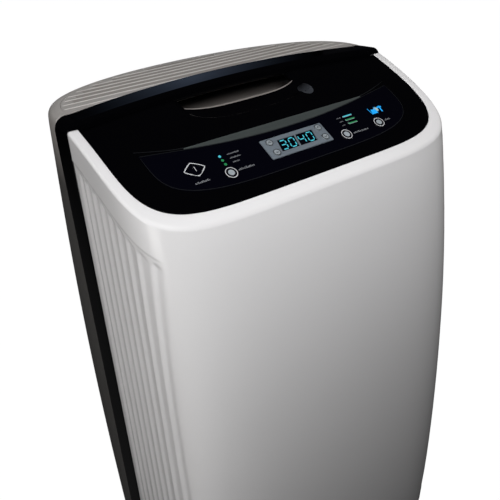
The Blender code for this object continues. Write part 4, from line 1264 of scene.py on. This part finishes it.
# ---------------------------------------------------------------- rear housing
def rear_columns():
    """Columns of points down the rear skin, from one side to the other."""
    section = spline([(0.0124, 0.0006), (0.0098, 0.0006), (0.0070, 0.0010), (0.0030, 0.0028),
                      (0.0008, 0.0065), (0.0, 0.0130)], 4)
    foot = [(0.0, 0.0100), (0.0006, 0.0072), (0.0020, 0.0044), (0.0060, 0.0006), (0.0120, 0.0)]
    columns = []
    for k in range(REAR_STEPS + 1):
        angle = math.pi * k / REAR_STEPS
        column = []
        for inset, drop in section:
            x, y = rear_point(angle, LOUVRE_HEIGHT - SHOULDER_DROP, inset)
            column.append((x, y, louvre_z(y) - drop))
        top = column[-1][2]
        low = SHELL_BOTTOM + foot[0][1]
        for row in range(1, 30):
            z = top + (low - top) * row / 30
            column.append((*rear_point(angle, z), z))
        for inset, rise in foot:
            z = SHELL_BOTTOM + rise
            column.append((*rear_point(angle, z, inset), z))
        columns.append(column)
    return columns


def rear_wall():
    """A closed wall between the rear skin and the same skin moved inwards."""
    skin = linked("skin", grid(rear_columns()))
    modifier = skin.modifiers.new("wall", "SOLIDIFY")
    modifier.thickness = WALL
    modifier.offset = -1.0
    bm = evaluated(skin)
    discard(skin)
    return bm


def make_rear_housing():
    bm = rear_wall()
    bm = carved(bm, box((-0.3, -0.1, 0.0), (0.3, REAR_START, 0.7)))
    openings = [box((-GRILLE_HALF_WIDTH, 0.07, GRILLE_Z[0]), (GRILLE_HALF_WIDTH, 0.2, GRILLE_Z[1])),
                box((-BUCKET_HALF_WIDTH, 0.07, BUCKET_Z[0]), (BUCKET_HALF_WIDTH, 0.2, BUCKET_Z[1]))]
    for x, radius in ((0.100, 0.0085), (-0.100, 0.0075)):
        hole = drill(radius, half=0.04)
        place = Matrix.Translation((x, 0.14, 0.295)) @ Matrix.Rotation(math.pi / 2, 4, "X")
        bmesh.ops.transform(hole, matrix=place, verts=hole.verts)
        openings.append(hole)
    bm = carved(bm, merged(*openings))
    piece("rear_housing_fine", bm, "grey_housing", stands_for=["rear_housing"])


def slot_outline(left, low):
    """A long slot with round ends, its lower left corner at left, low."""
    points = []
    ends = ((left + GRILLE_SLOT_ROUND, 0.5), (left + GRILLE_SLOT_LENGTH - GRILLE_SLOT_ROUND, -0.5))
    for centre, start in ends:
        for k in range(16):
            a = math.pi * (k / 15 + start)
            points.append((centre + GRILLE_SLOT_ROUND * math.cos(a),
                           low + GRILLE_SLOT_ROUND * (1 + math.sin(a))))
    return points


def make_rear_grille():
    bm = rear_wall()
    margin = 0.0006
    keep = box((-GRILLE_HALF_WIDTH + margin, 0.07, GRILLE_Z[0] + margin),
               (GRILLE_HALF_WIDTH - margin, 0.2, GRILLE_Z[1] - margin))
    bm = carved(bm, keep, "INTERSECT")
    slots = []
    turn = Matrix.Rotation(math.pi / 2, 4, "X")
    for row in range(GRILLE_ROWS):
        for left in (-0.113, 0.003):
            for half in range(2):
                z = GRILLE_Z[0] + 0.018 + row * GRILLE_ROW_PITCH + half * GRILLE_SLOT_PITCH
                slot = prism(slot_outline(left, z), -0.20, -0.07)
                bmesh.ops.transform(slot, matrix=turn, verts=slot.verts)
                slots.append(slot)
    bm = carved(bm, merged(*slots))
    # The grille lies below the housing grey's gradient, so all of it takes the painted-shade dark
    # grey.
    piece("rear_grille_fine", bm, "grey_housing", "intake_cassette", ["rear_grille"])


def louvre_reach(y):
    height = LOUVRE_HEIGHT - SHOULDER_DROP
    exponent = rear_power(height)
    depth = (y - REAR_START) / (rear_bulge(height) - LOUVRE_INSET)
    return (REAR_HALF_WIDTH - LOUVRE_INSET) * (1 - depth ** exponent) ** (1 / exponent)




def make_louvre():
    rows = []
    for row in range(41):
        t = row / 40
        line = []
        for k in range(-48, 49):
            angle = math.pi / 2 * (1 - k / 48)
            x, back = rear_point(angle, LOUVRE_HEIGHT - SHOULDER_DROP, LOUVRE_EDGE)
            front = bar_rear(x) + 3 * GAP
            y = front + (max(back, front + 0.002) - front) * t
            line.append((x, y, louvre_z(y) - 0.0008))
        rows.append(line)
    bm = thick_grid(rows, 0.0028, (0.0, 0.0, -1.0))
    slots = []
    blades = []
    for row in range(SLOT_ROWS):
        y = SLOT_START + row * SLOT_PITCH
        reach = louvre_reach(y + SLOT_DEPTH) - 0.010
        slots.append(box((-reach, y, 0.55), (reach, y + SLOT_DEPTH, 0.70)))
        line = []
        for x in (-reach + 0.0004, reach - 0.0004):
            line.append([(x, y + dy, louvre_z(y + dy) + dz) for dy, dz in BLADE_SECTION])
        blades.append(grid(line, closed=True, caps=True))
    bm = carved(bm, merged(*slots))
    piece("top_louvre_fine", bm, "louvre_grey", stands_for=["top_louvre"])
    # The blades' darker grey is painted shade inside the slots.
    piece("louvre_blades", merged(*blades), "blade_grey")
    # Light ribs in front of the slots: painted highlights on the slat edges.
    ribs = []
    for row in range(-1, SLOT_ROWS):
        y = SLOT_START - 0.0020 + row * SLOT_PITCH
        reach = louvre_reach(y + 0.0010) - 0.0012
        hidden = 1 - (y - 0.0014 - 3 * GAP - bar_rear(BOW_HALF_WIDTH)) / BAR_BOW_REAR
        start = BOW_HALF_WIDTH * math.sqrt(max(0.0, hidden))
        spans = ((-reach, -start), (start, reach)) if start else ((-reach, reach),)
        for low, high in spans:
            z = louvre_z(y) - 0.0010
            rib = rounded_box((low, y - 0.0006, z), (high, y + 0.0006, z + 0.0006), 0.0002, 2)
            ribs.append(rib)
    piece("louvre_ribs", merged(*ribs), "rib_grey")


# ---------------------------------------------------------------- bucket
def make_bucket():
    fit = 0.0006
    reach = BUCKET_HALF_WIDTH - fit
    low, high = BUCKET_Z[0] + fit, BUCKET_Z[1] - fit
    rows = []
    for row in range(25):
        z = low - 0.01 + (high - low + 0.02) * row / 24
        rows.append([(*rear_point(math.pi * k / 96, z), z) for k in range(97)])
    skin = grid(rows, closed=True, caps=True)
    body = rounded_box((-reach, 0.040, low), (reach, 0.200, high), 0.0012, 2)
    body = carved(body, skin, "INTERSECT")
    inner_rows = []
    for row in range(13):
        z = low - 0.01 + (high - low + 0.04) * row / 12
        inner_rows.append([(*rear_point(math.pi * k / 48, z, WALL), z) for k in range(49)])
    inner = grid(inner_rows, closed=True, caps=True)
    hollow = box((WALL - reach, 0.040 + WALL, low + WALL), (reach - WALL, 0.198, high + 0.02))
    hollow = carved(hollow, inner, "INTERSECT")
    body = carved(body, hollow)
    grip = rounded_box((-0.045, 0.130, 0.2250), (0.045, 0.175, 0.2480), 0.008, 5)
    body = carved(body, grip)
    piece("bucket_fine", body, "bucket_plastic", "water_bucket", ["bucket"])


def make_bucket_window():
    """A narrow water-level window on the bucket's rear face."""
    rows = []
    for row in range(13):
        z = 0.075 + 0.110 * row / 12
        line = []
        for k in range(7):
            x = -0.008 + 0.016 * k / 6
            across = math.acos(power(x / REAR_HALF_WIDTH, rear_power(z) / 2))
            line.append((*rear_point(across, z, 0.0001), z))
        rows.append(line)
    bm = thick_grid(rows, 0.0012, (0.0, -1.0, 0.0))
    piece("bucket_window", bm, "clear_window", "water_bucket")


# ---------------------------------------------------------------- carried-over pieces
def finish_cad_nodes():
    """Gives each CAD node that is still shown its material and softly rounded edges."""
    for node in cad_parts.values():
        slot = node.data.materials[0].name.split(".")[0]
        node.data.materials.clear()
        node.data.materials.append(MATERIALS[slot])
        if node.hide_render:
            continue
        weld = node.modifiers.new("weld", "WELD")
        weld.merge_threshold = 0.00002
        soften = node.modifiers.new("soften", "BEVEL")
        soften.width = 0.0006
        soften.segments = 2
        soften.limit_method = "ANGLE"
        soften.angle_limit = math.radians(50)
        soften.harden_normals = False


# ---------------------------------------------------------------- studio


def make_camera():
    data = bpy.data.cameras.new("camera")
    data.lens = CAMERA_LENS
    data.sensor_width = 36.0
    data.shift_x = -0.0011
    data.shift_y = 0.0065
    data.clip_start = 0.01
    data.clip_end = 50.0
    camera = bpy.data.objects.new("camera", data)
    bpy.context.scene.collection.objects.link(camera)
    turn = Matrix.Rotation(math.radians(-CAMERA_AZIMUTH), 4, "Z")
    tilt = Matrix.Rotation(math.radians(90 - CAMERA_DOWN), 4, "X")
    roll = Matrix.Rotation(math.radians(CAMERA_ROLL), 4, "Z")
    camera.matrix_world = Matrix.Translation(CAMERA_PLACE) @ turn @ tilt @ roll
    bpy.context.scene.camera = camera


def area_light(name, place, size, energy, colour, shown):
    data = bpy.data.lights.new(name, "AREA")
    data.shape = "RECTANGLE"
    data.size, data.size_y = size
    data.energy = energy
    data.color = colour
    light = bpy.data.objects.new(name, data)
    bpy.context.scene.collection.objects.link(light)
    direction = Vector(SUBJECT) - Vector(place)
    light.location = place
    light.rotation_euler = direction.to_track_quat("-Z", "Y").to_euler()
    light.visible_camera = False
    light.visible_glossy = shown




def make_card():
    """A dim blue card that the bar reflects, bright at its middle and fading to nothing."""
    card = linked("card", grid([[(x, y, 0.0) for x in (-CARD_RADIUS, CARD_RADIUS)]
                                for y in (-1.5 * CARD_RADIUS, 1.5 * CARD_RADIUS)]))
    card.location = CARD_PLACE
    direction = Vector(CARD_AIM) - Vector(CARD_PLACE)
    card.rotation_euler = direction.to_track_quat("-Z", "Y").to_euler()
    n = Nodes("card")
    spread = n.tree.nodes.new("ShaderNodeMapping")
    spread.inputs["Scale"].default_value = (1 / CARD_RADIUS, 0.67 / CARD_RADIUS, 0.0)
    n.link(n.coords, spread.inputs["Vector"])
    fade = n.tree.nodes.new("ShaderNodeTexGradient")
    fade.gradient_type = "QUADRATIC_SPHERE"
    n.link(spread.outputs["Vector"], fade.inputs["Vector"])
    card.data.materials.append(n.put(
        Base_Color=(0.0, 0.0, 0.0), Roughness=1.0, Specular_IOR_Level=0.0,
        Emission_Color=(0.52, 0.68, 1.0),
        Emission_Strength=n.remap(fade.outputs["Fac"], 0.0, 0.17, 0.0, 1.0)))
    card.visible_camera = False
    card.visible_shadow = False
    card.visible_diffuse = False


def camera_mix(tree, lit, shown, output, share):
    """Shows the camera one shader, by this share, over the one that lights the scene."""
    path = tree.nodes.new("ShaderNodeLightPath")
    part = tree.nodes.new("ShaderNodeMath")
    part.operation = "MULTIPLY"
    part.inputs[1].default_value = share
    blend = tree.nodes.new("ShaderNodeMixShader")
    tree.links.new(path.outputs["Is Camera Ray"], part.inputs[0])
    tree.links.new(part.outputs["Value"], blend.inputs["Fac"])
    tree.links.new(lit.outputs[0], blend.inputs[1])
    tree.links.new(shown.outputs[0], blend.inputs[2])
    tree.links.new(blend.outputs["Shader"], tree.nodes[output].inputs["Surface"])


def make_world():
    """A world that the camera sees white and that lights the object very little."""
    world = bpy.data.worlds.new("studio")
    bpy.context.scene.world = world
    world.use_nodes = True
    tree = world.node_tree
    background = tree.nodes["Background"]
    background.inputs["Color"].default_value = (0.005, 0.005, 0.006, 1.0)
    backdrop = tree.nodes.new("ShaderNodeBackground")
    backdrop.inputs["Color"].default_value = (1.0, 1.0, 1.0, 1.0)
    camera_mix(tree, background, backdrop, "World Output", 1.0)


def make_floor():
    """A floor that the camera sees white and that throws hardly any light back."""
    ends = (-FLOOR_HALF, FLOOR_HALF)
    floor = linked("floor", grid([[(x, y, -FLOOR_DROP) for x in ends] for y in ends]))
    mat = bpy.data.materials.new("floor")
    mat.use_nodes = True
    tree = mat.node_tree
    shader = tree.nodes["Principled BSDF"]
    shader.inputs["Base Color"].default_value = (0.05, 0.05, 0.05, 1.0)
    shader.inputs["Roughness"].default_value = 0.9
    shader.inputs["Specular IOR Level"].default_value = 0.1
    paper = tree.nodes.new("ShaderNodeEmission")
    paper.inputs["Color"].default_value = (1.0, 1.0, 1.0, 1.0)
    paper.inputs["Strength"].default_value = PAPER_STRENGTH
    camera_mix(tree, shader, paper, "Material Output", PAPER_SHARE)
    floor.data.materials.append(mat)


bpy.context.scene.view_settings.view_transform = "Standard"
make_camera()
make_world()
for light in LIGHTS:
    area_light(*light)
make_card()
make_floor()
make_front_shell()
make_deck()
make_cup()
make_panel()
make_display()
make_buttons()
make_prints()
make_band()
make_rear_housing()
make_rear_grille()
make_louvre()
make_bucket()
make_bucket_window()
finish_cad_nodes()
